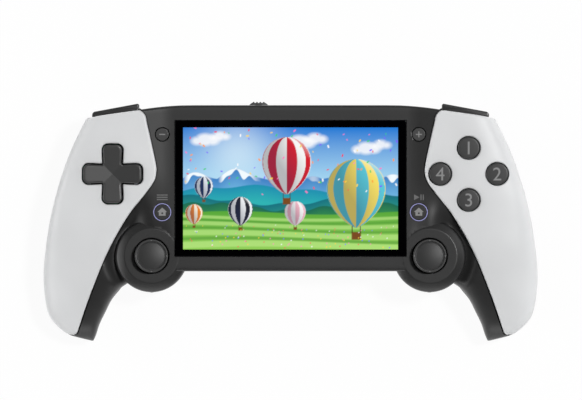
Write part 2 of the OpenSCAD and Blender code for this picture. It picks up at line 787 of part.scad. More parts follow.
// Chips on the main board: left edge, low edge above the screen's centre, width, height and thickness.
chips = [[-8, 1.4, 15, 15, 1.4], [14, 5.4, 11, 9, 1.1], [-26, 7.4, 9, 9, 1], [30, 19.4, 4, 4, 1.6]];
board_half = lens_half - 0.8;
board_wide = menu_x + 1.3;
board_low = body_bottom + wall + 1;

module main_board() {
    color(board_green) {
        difference() {
            translate([0, 0, board_z]) linear_extrude(board_t) {
                translate([-board_half, board_low])
                    square([2 * board_half, body_top - wall - 2.4 - board_low]);
                translate([-board_wide, stick_y + base_w / 2 + 1.5])
                    square([2 * board_wide, body_top - 9.9 - stick_y - base_w / 2 - 1.5]);
            }
            at_screws(board_post) translate([0, 0, board_z - 1])
                cylinder(d = small_screw_d + 2 * screw_gap, h = board_t + 2);
            at_screws(body_screws) translate([0, 0, board_z - 1])
                cylinder(d = pillar_d + 1, h = board_t + 2);
        }
        translate([-ribbon_w / 2 - 1, ribbon_y + ribbon_run - connector_l - 1, board_top])
            cube([ribbon_w + 2, connector_l, connector_h]);
        for (c = chips) translate([c[0], screen_y + c[1], board_top]) cube([c[2], c[3], c[4]]);
    }
}

cluster_board_z = 23.7;
cluster_board_top = cluster_board_z + board_t;
cluster_board_r = 17;
post_reach = 10.8;
cluster_posts = [for (a = [-1, 1]) [cluster_x + a * post_reach, cluster_y + a * post_reach]];
small_screw_d = 1.6;
small_screw_l = 3.4;
small_head_d = 2.8;
small_head_h = 0.9;
membrane_t = 1;
dome_foot_d = 6.4;
dome_head_d = 4.4;
membrane_z = cluster_board_top + near_zero;
pad_post_d = 3;
pad_point = 1;
carrier_z = 27.8;
carrier_t = 1.15;
carrier_d = 21;
face_low = 27.3;
face_places = [for (p = [[0, 1], [1, 0], [0, -1], [-1, 0]])
    [cluster_x + p[0] * face_step_x, cluster_y + p[1] * face_step_y]];
pad_reach = 8.2;

module button_board() {
    difference() {
        translate([cluster_x, cluster_y, cluster_board_z]) cylinder(r = cluster_board_r, h = board_t);
        for (p = cluster_posts) translate([p[0], p[1], cluster_board_z - 1])
            cylinder(d = small_screw_d + 2 * screw_gap, h = board_t + 2);
    }
}

module left_button_board() {
    color(board_green) on_left() {
        button_board();
        translate([cluster_x, cluster_y, cluster_board_top - near_zero])
            cylinder(d = pad_post_d, h = carrier_z - pad_point - cluster_board_top + near_zero);
        translate([cluster_x, cluster_y, carrier_z - pad_point])
            cylinder(d1 = pad_post_d, d2 = pad_post_d / 4, h = pad_point - lay);
    }
}

module right_button_board() {
    color(board_green) button_board();
}

module silicone_dome(place, top) {
    translate([place[0], place[1], membrane_z + membrane_t - near_zero])
        cylinder(d1 = dome_foot_d, d2 = dome_head_d, h = top - membrane_z - membrane_t + near_zero);
}

module pad_membrane() {
    places = [for (p = [[0, 1], [1, 0], [0, -1], [-1, 0]]) [cluster_x + p[0] * pad_reach,
        cluster_y + p[1] * pad_reach]];
    color("#8b8f96") on_left() {
        translate([cluster_x, cluster_y, membrane_z]) difference() {
            cylinder(d = 2 * pad_reach + 8, h = membrane_t);
            translate([0, 0, -1]) cylinder(d = pad_post_d + 1, h = 3);
        }
        for (p = places) silicone_dome(p, carrier_z - lay);
    }
}

module face_membrane() {
    color("#8b8f96") {
        translate([cluster_x, cluster_y, membrane_z]) cylinder(r = face_step_y - 0.9, h = membrane_t);
        for (p = face_places) {
            translate([p[0], p[1], membrane_z]) cylinder(d = dome_foot_d + 1.2, h = membrane_t);
            silicone_dome(p, face_low - lay);
        }
    }
}

// Outline of the direction pad: one arm, turned four times.
function pad_tip(grow, side) = let (w = (pad_arm + pad_flare) / 2 + grow, r = pad_corner + grow,
    l = pad_span / 2 + grow)
    [for (f = [0:15:90]) let (g = side < 0 ? 270 + f : f) [l - r + r * cos(g),
        side * (w - r) + r * sin(g)]];
function pad_arm_points(grow) = concat([[pad_arm / 2 + grow, -pad_arm / 2 - grow]], pad_tip(grow, -1),
    pad_tip(grow, 1));
function turned(p, a) = [p[0] * cos(a) - p[1] * sin(a), p[0] * sin(a) + p[1] * cos(a)];
function pad_outline(grow) = [for (a = [0:90:270]) for (p = pad_arm_points(grow)) turned(p, a)];
pad_tilt = 4;
pad_gap = 0.6;
pad_level = grip_level(cluster_x, cluster_y) + face_proud;
pad_low = carrier_z + carrier_t + near_zero;
pad_dish = 0.9;

module pad_cap() {
    lift = pad_span / 2 * tan(pad_tilt + 0.6);
    color(button_grey) translate([-cluster_x, cluster_y, 0]) difference() {
        translate([0, 0, pad_low]) linear_extrude(pad_level - pad_low) polygon(pad_outline(0));
        translate([0, 0, pad_level - pad_dish])
            cylinder(r1 = near_zero, r2 = pad_span / 2 + 0.4, h = pad_dish + near_zero);
        for (s = [-1, 1]) translate([0, pad_span, pad_low]) rotate([90, 0, 0])
            linear_extrude(2 * pad_span)
            polygon([[0, 0], [s * pad_span / 2 * 1.1, lift * 1.1], [s * pad_span / 2 * 1.1, -1],
                [0, -1]]);
    }
}

module pad_carrier() {
    color("#2c2c2c") translate([-cluster_x, cluster_y, carrier_z])
        cylinder(d = carrier_d, h = carrier_t);
}

ear_w = 2.6;
ear_reach = 6;
ear_h = 1.2;

// One face button: a round cap with two ears that stop it under the wing.
module face_button(place) {
    top = grip_level(place[0], place[1]) + face_proud;
    under = min([for (a = [-1, 1], b = [-1, 1])
        grip_level(place[0] + a * ear_w / 2, place[1] + b * ear_reach, wing_t)]) - 2 * lay;
    bevel = 0.6;
    color(button_grey) translate([place[0], place[1], 0]) {
        rotate_extrude() polygon([[0, face_low], [face_d / 2, face_low], [face_d / 2, top - bevel],
            [face_d / 2 - bevel, top], [0, top]]);
        translate([0, 0, under - ear_h / 2]) cube([ear_w, 2 * ear_reach, ear_h], center = true);
    }
}

module top_button() {
    face_button(face_places[0]);
}

module right_button() {
    face_button(face_places[1]);
}

module bottom_button() {
    face_button(face_places[2]);
}

module left_button() {
    face_button(face_places[3]);
}

key_travel = 0.3;
key_low = board_top + tact_h + key_travel + near_zero;
menu_flange = 0.8;
flange_h = 0.9;

module menu_button() {
    top = face_level(menu_x, menu_y) + 0.5;
    under = face_level(menu_x - menu_d / 2 - menu_flange, menu_y) - wall - 2 * lay;
    color(button_grey) translate([menu_x, menu_y, 0]) {
        translate([0, 0, key_low]) cylinder(d = 3, h = under - key_low);
        translate([0, 0, under - flange_h]) cylinder(d = menu_d + 2 * menu_flange, h = flange_h);
        translate([0, 0, under - near_zero]) cylinder(d = menu_d, h = top - under + near_zero);
    }
}

module plus_button() {
    menu_button();
}

module minus_button() {
    on_left() menu_button();
}

ring_flange_d = ring_d + 1.8;
ring_under = face_level(menu_x + ring_flange_d / 2, home_y - ring_flange_d / 2) - wall - lay;
home_room = 0.2;

module home_button() {
    top = face_level(menu_x, home_y) + 0.25;
    flange_top = ring_under - flange_h - 2 * lay;
    color(button_grey) translate([menu_x, home_y, 0]) {
        translate([0, 0, key_low]) cylinder(d = ring_d, h = flange_top - key_low);
        translate([0, 0, flange_top - near_zero])
            cylinder(d = home_d, h = top - flange_top + near_zero);
    }
}

module right_home_button() {
    home_button();
}

module left_home_button() {
    on_left() home_button();
}

module home_ring() {
    color("#9c9cda") translate([menu_x, home_y, 0]) difference() {
        union() {
            translate([0, 0, ring_under - flange_h]) cylinder(d = ring_flange_d, h = flange_h);
            translate([0, 0, ring_under - near_zero])
                cylinder(d = ring_d, h = face_level(menu_x, home_y) - ring_under);
        }
        translate([0, 0, board_top]) cylinder(d = home_d + 2 * home_room, h = front_z);
    }
}

module right_home_ring() {
    home_ring();
}

module left_home_ring() {
    on_left() home_ring();
}

bumper_out = 1.7;
bumper_in = -6.2;
bumper_slim = -1;
bumper_root = 15.5;

module bumper() {
    r = 2.2;
    lean = tan(shoulder_turn) * (bumper_out - bumper_in);
    color(shell_grey) at_shoulder() difference() {
        translate([0, 0, bumper_low]) linear_extrude(bumper_top - bumper_low)
            polygon(concat([[lean, bumper_in], [bumper_root, bumper_in], [bumper_root, bumper_slim],
                [bumper_l, bumper_slim]],
            [for (f = [0:15:90]) [bumper_l - r + r * cos(f), bumper_out - r + r * sin(f)]],
                [[0, bumper_out]]));
        translate([bumper_pin[0], bumper_pin[1], bumper_low - 1])
            cylinder(d = pin_d + 2 * pin_gap, h = front_z);
    }
}

module right_bumper() {
    bumper();
}

module left_bumper() {
    on_left() bumper();
}

trigger_from = ear_x[0] + ear_t + 3 * lay;
trigger_to = ear_x[1] - 3 * lay;

// Trigger blade: a side profile pulled along the pin, Y outward and Z up.
module trigger() {
    color(shell_grey) at_shoulder() difference() {
        translate([trigger_from, 0, 0]) rotate([90, 0, 90]) linear_extrude(trigger_to - trigger_from)
            polygon(concat([for (f = [90:15:285]) [hinge_y + ear_r * cos(f), hinge_z + ear_r * sin(f)]],
                [[-2.9, hinge_z - 4], [-2.6, hinge_z - 8], [-2.1, trigger_low + 2.4],
                    [-1.1, trigger_low + 0.4],
                [-0.2, trigger_low], [0.6, trigger_low + 0.4], [1.2, trigger_low + 2],
                    [1.5, trigger_low + 5],
                [1.5, hinge_z - 5], [1.2, hinge_z - 1], [0.6, hinge_z + ear_r]]));
        translate([-5, hinge_y, hinge_z]) rotate([0, 90, 0])
            cylinder(d = pin_d + 2 * pin_gap, h = bumper_l + 10);
    }
}

module right_trigger() {
    trigger();
}

module left_trigger() {
    on_left() trigger();
}

module shoulder_pins() {
    color(steel) both_sides() at_shoulder() {
        translate([ear_x[0], hinge_y, hinge_z]) rotate([0, 90, 0])
            cylinder(d = pin_d, h = ear_x[1] + ear_t - ear_x[0]);
        translate([bumper_pin[0], bumper_pin[1], pin_foot])
            cylinder(d = pin_d, h = bumper_top + 0.5 - pin_foot);
    }
}

rear_floor = back_z + wall + lay;
battery_drop = 15.1;

module battery() {
    color("#33455c") translate([-battery_w / 2, screen_y - battery_drop, rear_floor])
        cube([battery_w, battery_h, battery_t]);
}

module speaker() {
    color("#1d1d1f") translate([speaker_x, speaker_y, rear_floor]) difference() {
        translate([-speaker_w / 2, -speaker_d / 2, 0]) cube([speaker_w, speaker_d, speaker_h]);
        translate([0, 0, -1]) cylinder(d = speaker_d - 2, h = 2);
    }
}

module right_speaker() {
    speaker();
}

module left_speaker() {
    on_left() speaker();
}

port_out = body_top - 0.2;

module charging_port() {
    skin = 0.3;
    tongue_l = 5.8;
    color(steel) translate([port_x, port_out - port_l / 2, board_z - port_h / 2]) rotate([90, 0, 0]) {
        difference() {
            port_outline(-near_zero, port_l);
            translate([0, 0, -skin]) port_outline(-skin - near_zero, port_l);
        }
        translate([0, 0, port_l / 2 - tongue_l / 2 - near_zero])
            cube([port_w - 2.4, 0.7, tongue_l], center = true);
    }
}

jack_l = 14;

module headphone_jack() {
    color("#161616") translate([jack_x, port_out, jack_z]) rotate([90, 0, 0]) difference() {
        union() {
            cylinder(d = jack_w - 0.8, h = jack_l);
            translate([-jack_w / 2, -2.5, wall + 1]) cube([jack_w, 5, jack_l - wall - 1]);
        }
        translate([0, 0, -1]) cylinder(d = jack_bore_d, h = jack_l + 2);
    }
}

module card_slot() {
    l = 14;
    color(steel) translate([0, body_bottom + wall + 0.3 + l / 2, board_z - card_h / 2 - near_zero])
        difference() {
        cube([card_w, l, card_h], center = true);
        translate([0, -1, 0]) cube([card_open_w, l, card_open_h], center = true);
    }
}

module power_switch() {
    depth = 4;
    color("#1a1a1a") translate([slider_x + slider_travel / 2, body_top - wall - 0.4 - depth / 2,
        board_top + 1.4 + near_zero]) difference() {
        cube([slider_stem_w + slider_travel + 4, depth, 2.8], center = true);
        translate([0, 1, 0]) cube([slider_stem_w + slider_travel + 1, depth, slider_stem_h + 0.5],
            center = true);
    }
}

slider_w = 8.4;
slider_proud = 0.95;
slider_depth = 4;
tooth_h = 0.45;
tooth_step = 1.5;

module power_slider() {
    color(button_grey) translate([slider_x, body_top + lay, slider_z]) {
        translate([0, 0, -slider_depth / 2]) linear_extrude(slider_depth)
            polygon([[-slider_w / 2, 0], [slider_w / 2, 0], [slider_w / 2 - 1.1, slider_proud],
                [-slider_w / 2 + 1.1, slider_proud]]);
        for (i = [-1.5:1.5]) translate([i * tooth_step, slider_proud, -slider_depth / 2])
            cylinder(r = tooth_h, h = slider_depth);
        translate([-slider_stem_w / 2, -wall - 2.6, -slider_stem_h / 2])
            cube([slider_stem_w, wall + 2.6 + near_zero, slider_stem_h]);
    }
}

tact_w = 3.6;
plunger_h = 0.6;
shoulder_tact_w = 5;
shoulder_tact_h = 2.4;
shoulder_tact_t = 1.4;

module tact_switches() {
    color("#b8b8b8") both_sides() {
        for (y = [menu_y, home_y]) translate([menu_x, y, board_top + near_zero / 2]) {
            translate([-tact_w / 2, -tact_w / 2, 0]) cube([tact_w, tact_w, tact_h - plunger_h]);
            cylinder(d = tact_w / 2, h = tact_h);
        }
        at_shoulder() translate([(bumper_l - shoulder_tact_w) / 2, pocket_wall + near_zero,
            hinge_z - ear_r - near_zero - shoulder_tact_h])
            cube([shoulder_tact_w, shoulder_tact_t, shoulder_tact_h]);
    }
}

module shell_screws() {
    color(steel) for (p = all_screws, s = [-1, 1]) translate([s * p[0], p[1], p[2] - screw_seat]) {
        difference() {
            translate([0, 0, -screw_head_h]) cylinder(d = screw_head_d, h = screw_head_h);
            for (a = [0, 90]) rotate([0, 0, a]) translate([0, 0, -screw_head_h])
                cube([2.4, 0.5, 1.4], center = true);
        }
        translate([0, 0, -near_zero]) cylinder(d = screw_shank_d, h = screw_bite + screw_seat);
    }
}

module board_screws() {
    color(steel) {
        at_screws(board_post) translate([0, 0, board_z]) small_screw();
        at_screws(cluster_posts) translate([0, 0, cluster_board_z]) small_screw();
    }
}

module small_screw() {
    translate([0, 0, -small_head_h - near_zero]) cylinder(d = small_head_d, h = small_head_h);
    translate([0, 0, -2 * near_zero]) cylinder(d = small_screw_d, h = board_t + small_screw_l);
}

base_wall = 1.7;
base_h = 10;
trunnion_d = 1.6;
trunnion_end = base_w / 2 - 0.3;
rocker_r = 4.3;
rocker_bore_r = 3.1;
rocker_h = 2.4;
arm_gap = 0.7;
arm_r = base_w / 2 - base_wall - arm_gap;
arm_t = 1.2;
arm_w = 5.6;
slot_gap = 0.25;
slot_run = 8.6;
cross_pin_d = 1.2;
cross_pin_l = 8;
dome_t = 1;
dome_rim = 6;
tip_z = cap_z + 0.4;
click = 0.35;
neck_d = 6.4;

module at_stick() {
    translate([stick_x, stick_y, pivot_z]) children();
}

module stick_base() {
    low = rear_floor - pivot_z;
    color("#202124") at_stick() difference() {
        translate([-base_w / 2, -base_w / 2, low]) cube([base_w, base_w, base_h]);
        translate([-base_w / 2 + base_wall, -base_w / 2 + base_wall, low + 1.2])
            cube([base_w - 2 * base_wall, base_w - 2 * base_wall, base_h]);
        for (a = [0, 90]) rotate([0, 0, a]) rotate([0, 90, 0])
            cylinder(d = trunnion_d + 2 * pin_gap, h = 2 * base_w, center = true);
    }
}

module stick_rocker() {
    color("#c9c9c4") at_stick() difference() {
        union() {
            translate([0, 0, -rocker_h / 2]) cylinder(r = rocker_r, h = rocker_h);
            for (s = [-1, 1]) rotate([0, s * 90, 0]) translate([0, 0, rocker_bore_r + 0.4])
                cylinder(d = trunnion_d, h = trunnion_end - rocker_bore_r - 0.4);
        }
        translate([0, 0, -rocker_h]) cylinder(r = rocker_bore_r, h = 2 * rocker_h);
        rotate([90, 0, 0]) cylinder(d = cross_pin_d + 2 * pin_gap, h = 4 * rocker_r, center = true);
    }
}

module stick_arm() {
    color("#8f9296") at_stick() difference() {
        union() {
            difference() {
                rotate([0, 90, 0]) cylinder(r = arm_r, h = arm_w, center = true);
                rotate([0, 90, 0]) cylinder(r = arm_r - arm_t, h = 2 * arm_w, center = true);
                translate([-arm_w, -2 * arm_r, -2 * arm_r]) cube([2 * arm_w, 4 * arm_r, 2 * arm_r]);
            }
            for (s = [-1, 1]) rotate([s * 90, 0, 0]) {
                translate([0, 0, arm_r - arm_t]) cylinder(r = 1.6, h = arm_t);
                translate([0, 0, arm_r - arm_t / 2])
                    cylinder(d = trunnion_d, h = trunnion_end - arm_r + arm_t / 2);
            }
        }
        translate([-shaft_d / 2 - slot_gap, -slot_run / 2, 0])
            cube([shaft_d + 2 * slot_gap, slot_run, 2 * arm_r]);
    }
}

module stick_shaft() {
    color("#2a2a2c") at_stick() {
        translate([0, 0, -1.5]) cylinder(r = 2.2, h = 3);
        translate([0, 0, -3.4]) cylinder(r = 1.2, h = 3);
        translate([0, 0, 1]) cylinder(d = shaft_d, h = tip_z - pivot_z - 1);
        rotate([90, 0, 0]) cylinder(d = cross_pin_d, h = cross_pin_l, center = true);
        difference() {
            sphere(r = dome_r);
            sphere(r = dome_r - dome_t);
            translate([0, 0, dome_rim - 2 * dome_r]) cylinder(r = 2 * dome_r, h = 2 * dome_r);
        }
    }
}

module stick_cap() {
    rim = 1.1;
    groove = 0.35;
    rise = 0.5;
    cap_r = cap_d / 2;
    dish_r = cap_r - rim - groove;
    crown_r = (dish_r * dish_r + rise * rise) / (2 * rise);
    color("#3f3f41") translate([stick_x, stick_y, 0]) difference() {
        union() {
            translate([0, 0, cap_z]) cylinder(r1 = cap_r - 0.5, r2 = cap_r, h = 0.5);
            translate([0, 0, cap_z + 0.5]) cylinder(r = cap_r, h = cap_h - 0.9);
            translate([0, 0, cap_z + cap_h - 0.4]) cylinder(r1 = cap_r, r2 = cap_r - 0.4, h = 0.4);
            intersection() {
                translate([0, 0, cap_z + cap_h - near_zero + rise - crown_r]) sphere(r = crown_r);
                translate([0, 0, cap_z + cap_h - 0.3]) cylinder(r = dish_r, h = 2);
            }
            translate([0, 0, cap_z - 2]) cylinder(d = neck_d, h = 2.1);
        }
        translate([0, 0, cap_z + cap_h - groove]) difference() {
            cylinder(r = dish_r + groove, h = 2);
            translate([0, 0, -1]) cylinder(r = dish_r, h = 4);
        }
        translate([0, 0, cap_z - 3])
            cylinder(d = shaft_d + 2 * pin_gap, h = tip_z + click + 0.1 - cap_z + 3);
    }
}

module right_stick_base() {
    stick_base();
}

module right_stick_rocker() {
    stick_rocker();
}

module right_stick_arm() {
    stick_arm();
}

module right_stick_shaft() {
    stick_shaft();
}

module right_stick_cap() {
    stick_cap();
}

module left_stick_base() {
    on_left() stick_base();
}

module left_stick_rocker() {
    on_left() stick_rocker();
}

module left_stick_arm() {
    on_left() stick_arm();
}

module left_stick_shaft() {
    on_left() stick_shaft();
}

module left_stick_cap() {
    on_left() stick_cap();
}

front_shell();
rear_shell();
left_wing();
right_wing();
screen_lens();
lens_tape();
display_panel();
display_tray();
display_ribbon();
main_board();
left_button_board();
right_button_board();
battery();
left_speaker();
right_speaker();
charging_port();
headphone_jack();
card_slot();
power_switch();
power_slider();
tact_switches();
shell_screws();
board_screws();
pad_cap();
pad_carrier();
pad_membrane();
top_button();
right_button();
bottom_button();
left_button();
face_membrane();
plus_button();
minus_button();
left_home_button();
right_home_button();
left_home_ring();
right_home_ring();
left_bumper();
right_bumper();
left_trigger();
right_trigger();
shoulder_pins();
left_stick_base();
left_stick_rocker();
left_stick_arm();
left_stick_shaft();
left_stick_cap();
right_stick_base();
right_stick_rocker();
right_stick_arm();
right_stick_shaft();
right_stick_cap();
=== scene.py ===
"""Looks of a handheld game console: smooth shells, signs, a lit picture and a plain stage.

Lengths in the code are millimetres, turned to metres where a mesh is placed.
"""
import json
import math

import bpy
import numpy as np
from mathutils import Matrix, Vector


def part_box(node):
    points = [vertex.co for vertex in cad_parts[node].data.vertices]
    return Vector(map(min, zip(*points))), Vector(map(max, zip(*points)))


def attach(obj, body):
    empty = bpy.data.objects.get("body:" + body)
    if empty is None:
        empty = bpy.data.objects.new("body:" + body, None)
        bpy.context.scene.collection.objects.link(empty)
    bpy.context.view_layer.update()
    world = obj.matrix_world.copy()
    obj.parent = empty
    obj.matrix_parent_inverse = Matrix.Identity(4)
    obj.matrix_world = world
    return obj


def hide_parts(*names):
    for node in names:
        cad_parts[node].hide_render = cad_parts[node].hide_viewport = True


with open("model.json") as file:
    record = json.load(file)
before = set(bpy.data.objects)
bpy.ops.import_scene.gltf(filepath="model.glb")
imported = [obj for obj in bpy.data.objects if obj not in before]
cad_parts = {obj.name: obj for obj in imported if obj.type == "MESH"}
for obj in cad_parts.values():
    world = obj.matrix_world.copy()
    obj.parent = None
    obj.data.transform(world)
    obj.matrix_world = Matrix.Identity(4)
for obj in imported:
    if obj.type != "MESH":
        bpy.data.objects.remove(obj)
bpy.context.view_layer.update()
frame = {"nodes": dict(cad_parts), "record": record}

bl_info = {
    "name": "Handheld game console",
    "version": (1, 0, 0),
    "blender": (4, 5, 0),
    "location": "View3D > Sidebar > Console",
    "description": "Dresses the console's frame with shells, finishes, a lit picture and a stage",
    "category": "Object",
}

MM = 0.001
SIDES = {"left": -1, "right": 1}


def node_box(node):
    """Lowest and highest corner of a frame node, in millimetres."""
    low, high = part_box(node)
    return np.array(low) / MM, np.array(high) / MM


def node_middle(node):
    """Middle of a frame node's box, in millimetres."""
    return sum(node_box(node)) / 2


# Places that the frame gives.
LENS_LOW, LENS_HIGH = node_box("screen_lens")
SCREEN_Y = node_middle("screen_lens")[1]
FRONT_Z = LENS_HIGH[2]
LENS_HALF = LENS_HIGH[0]
STICK = node_middle("right_stick_cap")
CLUSTER = node_middle("pad_cap") * (-1, 1, 1)
MENU = node_middle("plus_button")
HOME = node_middle("right_home_button")

# Plan of the body, and of the right side's grip, wing and shoulder.
SIDE_W = 58.3  # from the lens to the grip's widest place
GRIP_REACH = LENS_HALF + SIDE_W - 0.03
BODY_TOP = LENS_HIGH[1] + 6.7
BODY_BOTTOM = LENS_LOW[1] - 6.5
STRAIGHT_HALF = LENS_HALF - 6.6  # the upper edge is straight up to here
BEND, BEND_POWER = 1.9, 1.8  # and bends down this far, faster and faster
BEND_ROWS = (BODY_TOP - 16, BODY_TOP - 8)  # the face takes up the bend over these rows
X_SIDE = LENS_HALF + 0.3568 * SIDE_W
SIDE_TOP = BODY_TOP - 11.4
SHOULDER = (LENS_HALF + 0.26415 * SIDE_W, BODY_TOP - 0.8)
SHOULDER_LOW = BODY_TOP - 7.4
SHOULDER_TURN = math.radians(10.5)
TIP_Y = -52.95
TIP_TALL = 20.0  # rows of points lie closer together below this height
GRIP_TALL = 104.35
GRIP_END = GRIP_TALL + 0.65
WING_LOW = 2.2
WING_FALL = 0.136
CORNER_R = 4.6
CORNER_H = 97.8
FOOT_R = 1.5
BOSS_R = 16.1
BOSS_TOP_R = BOSS_R - 4
FAR = 160.0  # past everything

# Levels and walls of the shells.
PART_Z = 17.0  # seam of the two halves
REAR_GAP = 0.1
REAR_TOP = PART_Z - REAR_GAP
BACK_Z = 13.0
WALL = 2.0
SEAM = 0.35
SHOULDER_EDGE = SHOULDER[0] - SEAM
FLAT_HALF = LENS_HALF - 3.2  # the face is flat up to here
SIDE_FALL = 1.11  # and falls this far over the next 10 mm
FALL_START = (LENS_HALF + 0.5, LENS_HALF + 5.5)
FALL_ROWS = (STICK[1] - 4, STICK[1] + 20)
EDGE_ROWS = (STICK[1] + 13, STICK[1] + 29)
EDGE_SPAN = (LENS_HALF + 9, LENS_HALF + 20.5)
SIDE_RISE = 0.07  # slope of its climb to the wings
RISE_FROM = LENS_HALF + 3.2
RISE_SOFT = 2.5
RISE_ROWS = (HOME[1], HOME[1] + 20)
GRIP_FRONT = 15.7
STRIP_FULLER = 1.5  # the dark strip is fuller than the wing beside it
STRIP_DROP = 0.3
VALLEY = 3.6
VALLEY_W = 6.0
FLOW = 2.5  # softness of the face's passage into the strip

# Curves of the right grip: height above the tip and distance in from the widest place, as shares
# of the grip's height and of the side's width.
OUTER_LINE = [[0, 0.3654], [0.0225, 0.211], [0.0474, 0.1338], [0.0982, 0.0515], [0.149, 0.0206],
              [0.2516, 0], [0.3522, 0.0086], [0.5046, 0.048], [0.6579, 0.1149], [0.8103, 0.211],
              [0.953, 0.3345], [1.0158, 0.3928]]
TIP_INNER = [[0, 0.3774], [0.0225, 0.3962], [0.0733, 0.4271], [0.1241, 0.4717], [0.1749, 0.518],
             [0.2257, 0.5901]]
FRONT_INNER = TIP_INNER + [[0.2587, 0.6775], [0.3162, 0.7719], [0.4121, 0.952], [0.5462, 1.2607],
                           [0.6229, 1.4666], [0.725, 1.5798], [0.8529, 1.4082], [0.9583, 1.2298],
                           [1.0158, 1.1492]]
REAR_INNER = TIP_INNER + [[0.2779, 0.6604], [0.3642, 0.7204], [0.5079, 0.7633], [0.6996, 0.7804],
                          [0.8433, 0.7633], [1.0158, 0.7118]]
SPLIT_LINE = [[0, 0.2436], [0.0388, 0.2676], [0.1912, 0.3636], [0.3436, 0.47], [0.4451, 0.5592],
              [0.5477, 0.6724], [0.6234, 0.7822], [0.6794, 0.8508], [0.725, 0.8679],
              [0.7667, 0.8576], [0.8529, 0.825], [0.9478, 0.7873], [1.0158, 0.765]]
# The same heights with levels in millimetres.
FRONT_DEPTH = [[0, 14.3], [0.0062, 11.5], [0.0225, 8.5], [0.0474, 6], [0.0762, 4.5],
               [0.1246, 3.5], [0.1725, 3], [0.2779, 2.4], [0.3929, 1.85], [0.4791, 1.45],
               [0.5462, 0.9], [0.6229, 0.35], [0.69, 0.05], [0.7667, 0], [1.0158, 0]]
PART_DROP = [[0, 7.5], [0.0767, 6], [0.1725, 3.5], [0.2779, 1.4], [0.3929, 0.2], [0.5079, 0],
             [1.0158, 0]]
BACK_LEVEL = [[0, 8.1], [0.0062, 5.8], [0.0225, 3.5], [0.0474, 1.6], [0.0762, 0.5],
              [0.1246, -0.3], [0.1725, -0.6], [0.5942, -0.6], [0.6517, -0.4], [0.7187, 0.8],
              [0.7762, 3.2], [0.8337, 7.2], [0.8912, 11], [0.9487, 12.7], [1.0158, BACK_Z]]
FULLNESS = [[0, 2.4], [0.1725, 2.5], [0.3162, 2.9], [0.4312, 3.8], [0.5462, 5], [0.6229, 6],
            [1.0158, 6]]
DARK_SINK = [[0, 0], [0.345, 0], [0.4121, 0], [0.4792, 0.65], [0.5462, 2], [0.5942, 3.5],
             [0.6325, 4.4]]
DARK_TOP = 0.6325 * GRIP_TALL
BACK_FULLNESS = 2.4


def along(pairs, h):
    """Smooth curve through pairs of a share of the grip's height and a value."""
    pairs = np.asarray(pairs, float)
    x, y = pairs[:, 0] * GRIP_TALL, pairs[:, 1]
    count = np.arange(len(x))
    before, after = np.maximum(count - 1, 0), np.minimum(count + 1, len(x) - 1)
    slope = (y[after] - y[before]) / (x[after] - x[before])
    h = np.asarray(h, float)
    k = np.clip(np.searchsorted(x, h, side="right") - 1, 0, len(x) - 2)
    d = x[k + 1] - x[k]
    t = (h - x[k]) / d
    return ((2 * t ** 3 - 3 * t ** 2 + 1) * y[k] + (t ** 3 - 2 * t ** 2 + t) * slope[k] * d
            + (3 * t ** 2 - 2 * t ** 3) * y[k + 1] + (t ** 3 - t ** 2) * slope[k + 1] * d)


def reach_in(pairs, h):
    """Place across the grip that a curve of distances gives."""
    return GRIP_REACH - SIDE_W * along(pairs, h)


CORNER_X = reach_in(SPLIT_LINE, CORNER_H) + CORNER_R


def part_level(h):
    """Level of the seam between a grip's front and rear half."""
    return PART_Z - along(PART_DROP, h)


def middle_and_half(inner, h):
    """Middle and half width of a grip's section."""
    outer, inner = reach_in(OUTER_LINE, h), reach_in(inner, h)
    return (outer + inner) / 2, (outer - inner) / 2


def front_shape(h, sink):
    """Depth and fullness of a grip's front section, or of the dark strip, which lies lower."""
    depth, power = GRIP_FRONT - along(FRONT_DEPTH, h), along(FULLNESS, h)
    if sink:
        return depth - (along(DARK_SINK, h) + STRIP_DROP), power + STRIP_FULLER
    return depth, power


def dome(x, h, sink):
    """Height of the right grip's front section over its seam."""
    centre, half = middle_and_half(FRONT_INNER, h)
    depth, power = front_shape(h, sink)
    share = np.minimum(0.999, np.abs(x - centre) / half)
    return depth * (1 - share ** power) ** (1 / power)


def grip_level(x, y):
    """Level of the right grip's front surface."""
    h = np.asarray(y) - TIP_Y
    return part_level(h) + dome(x, h, False)


def eased(value, span):
    """Share of the way through a span, with a soft start and end."""
    t = np.clip((np.asarray(value, float) - span[0]) / (span[1] - span[0]), 0, 1)
    return t * t * (3 - 2 * t)


def face_level(x, y):
    """Level of the middle front face: it falls beside the sticks and climbs to the wings above."""
    x = np.abs(x)
    near, edge = eased(y, FALL_ROWS), eased(y, EDGE_ROWS)
    held = near + (edge - near) * eased(x, EDGE_SPAN)
    fall = SIDE_FALL * (1 - held) * (np.maximum(0, x - FLAT_HALF) / 10) ** 2
    past = x - RISE_FROM
    rise = np.where(np.abs(past) < RISE_SOFT, (past + RISE_SOFT) ** 2 / (4 * RISE_SOFT),
                    np.maximum(0, past))
    return FRONT_Z - fall * eased(x, FALL_START) + SIDE_RISE * eased(y, RISE_ROWS) * rise


def valley(x, y):
    """How much of the dark strip's height is left, as it dips beside the right stick's boss."""
    away = np.hypot(np.asarray(x) - STICK[0], np.asarray(y) - STICK[1])
    return 1 - VALLEY * (1 - eased(away, (BOSS_R, BOSS_R + VALLEY_W))) / GRIP_FRONT


def strip_level(x, y):
    """Level of the right grip's dark strip, which sinks under the face higher up."""
    h = np.clip(np.asarray(y) - TIP_Y, 0, DARK_TOP)
    return part_level(h) + dome(x, h, True) * valley(x, y)


def dark_level(x, y):
    """Level of the face where it flows into the strip."""
    face, strip = face_level(x, y), strip_level(np.abs(x), y)
    share = np.clip(0.5 + (strip - face) / (2 * FLOW), 0, 1)
    flow = face * (1 - share) + strip * share + FLOW * share * (1 - share)
    return np.where(np.asarray(y) < TIP_Y + DARK_TOP, flow, face)


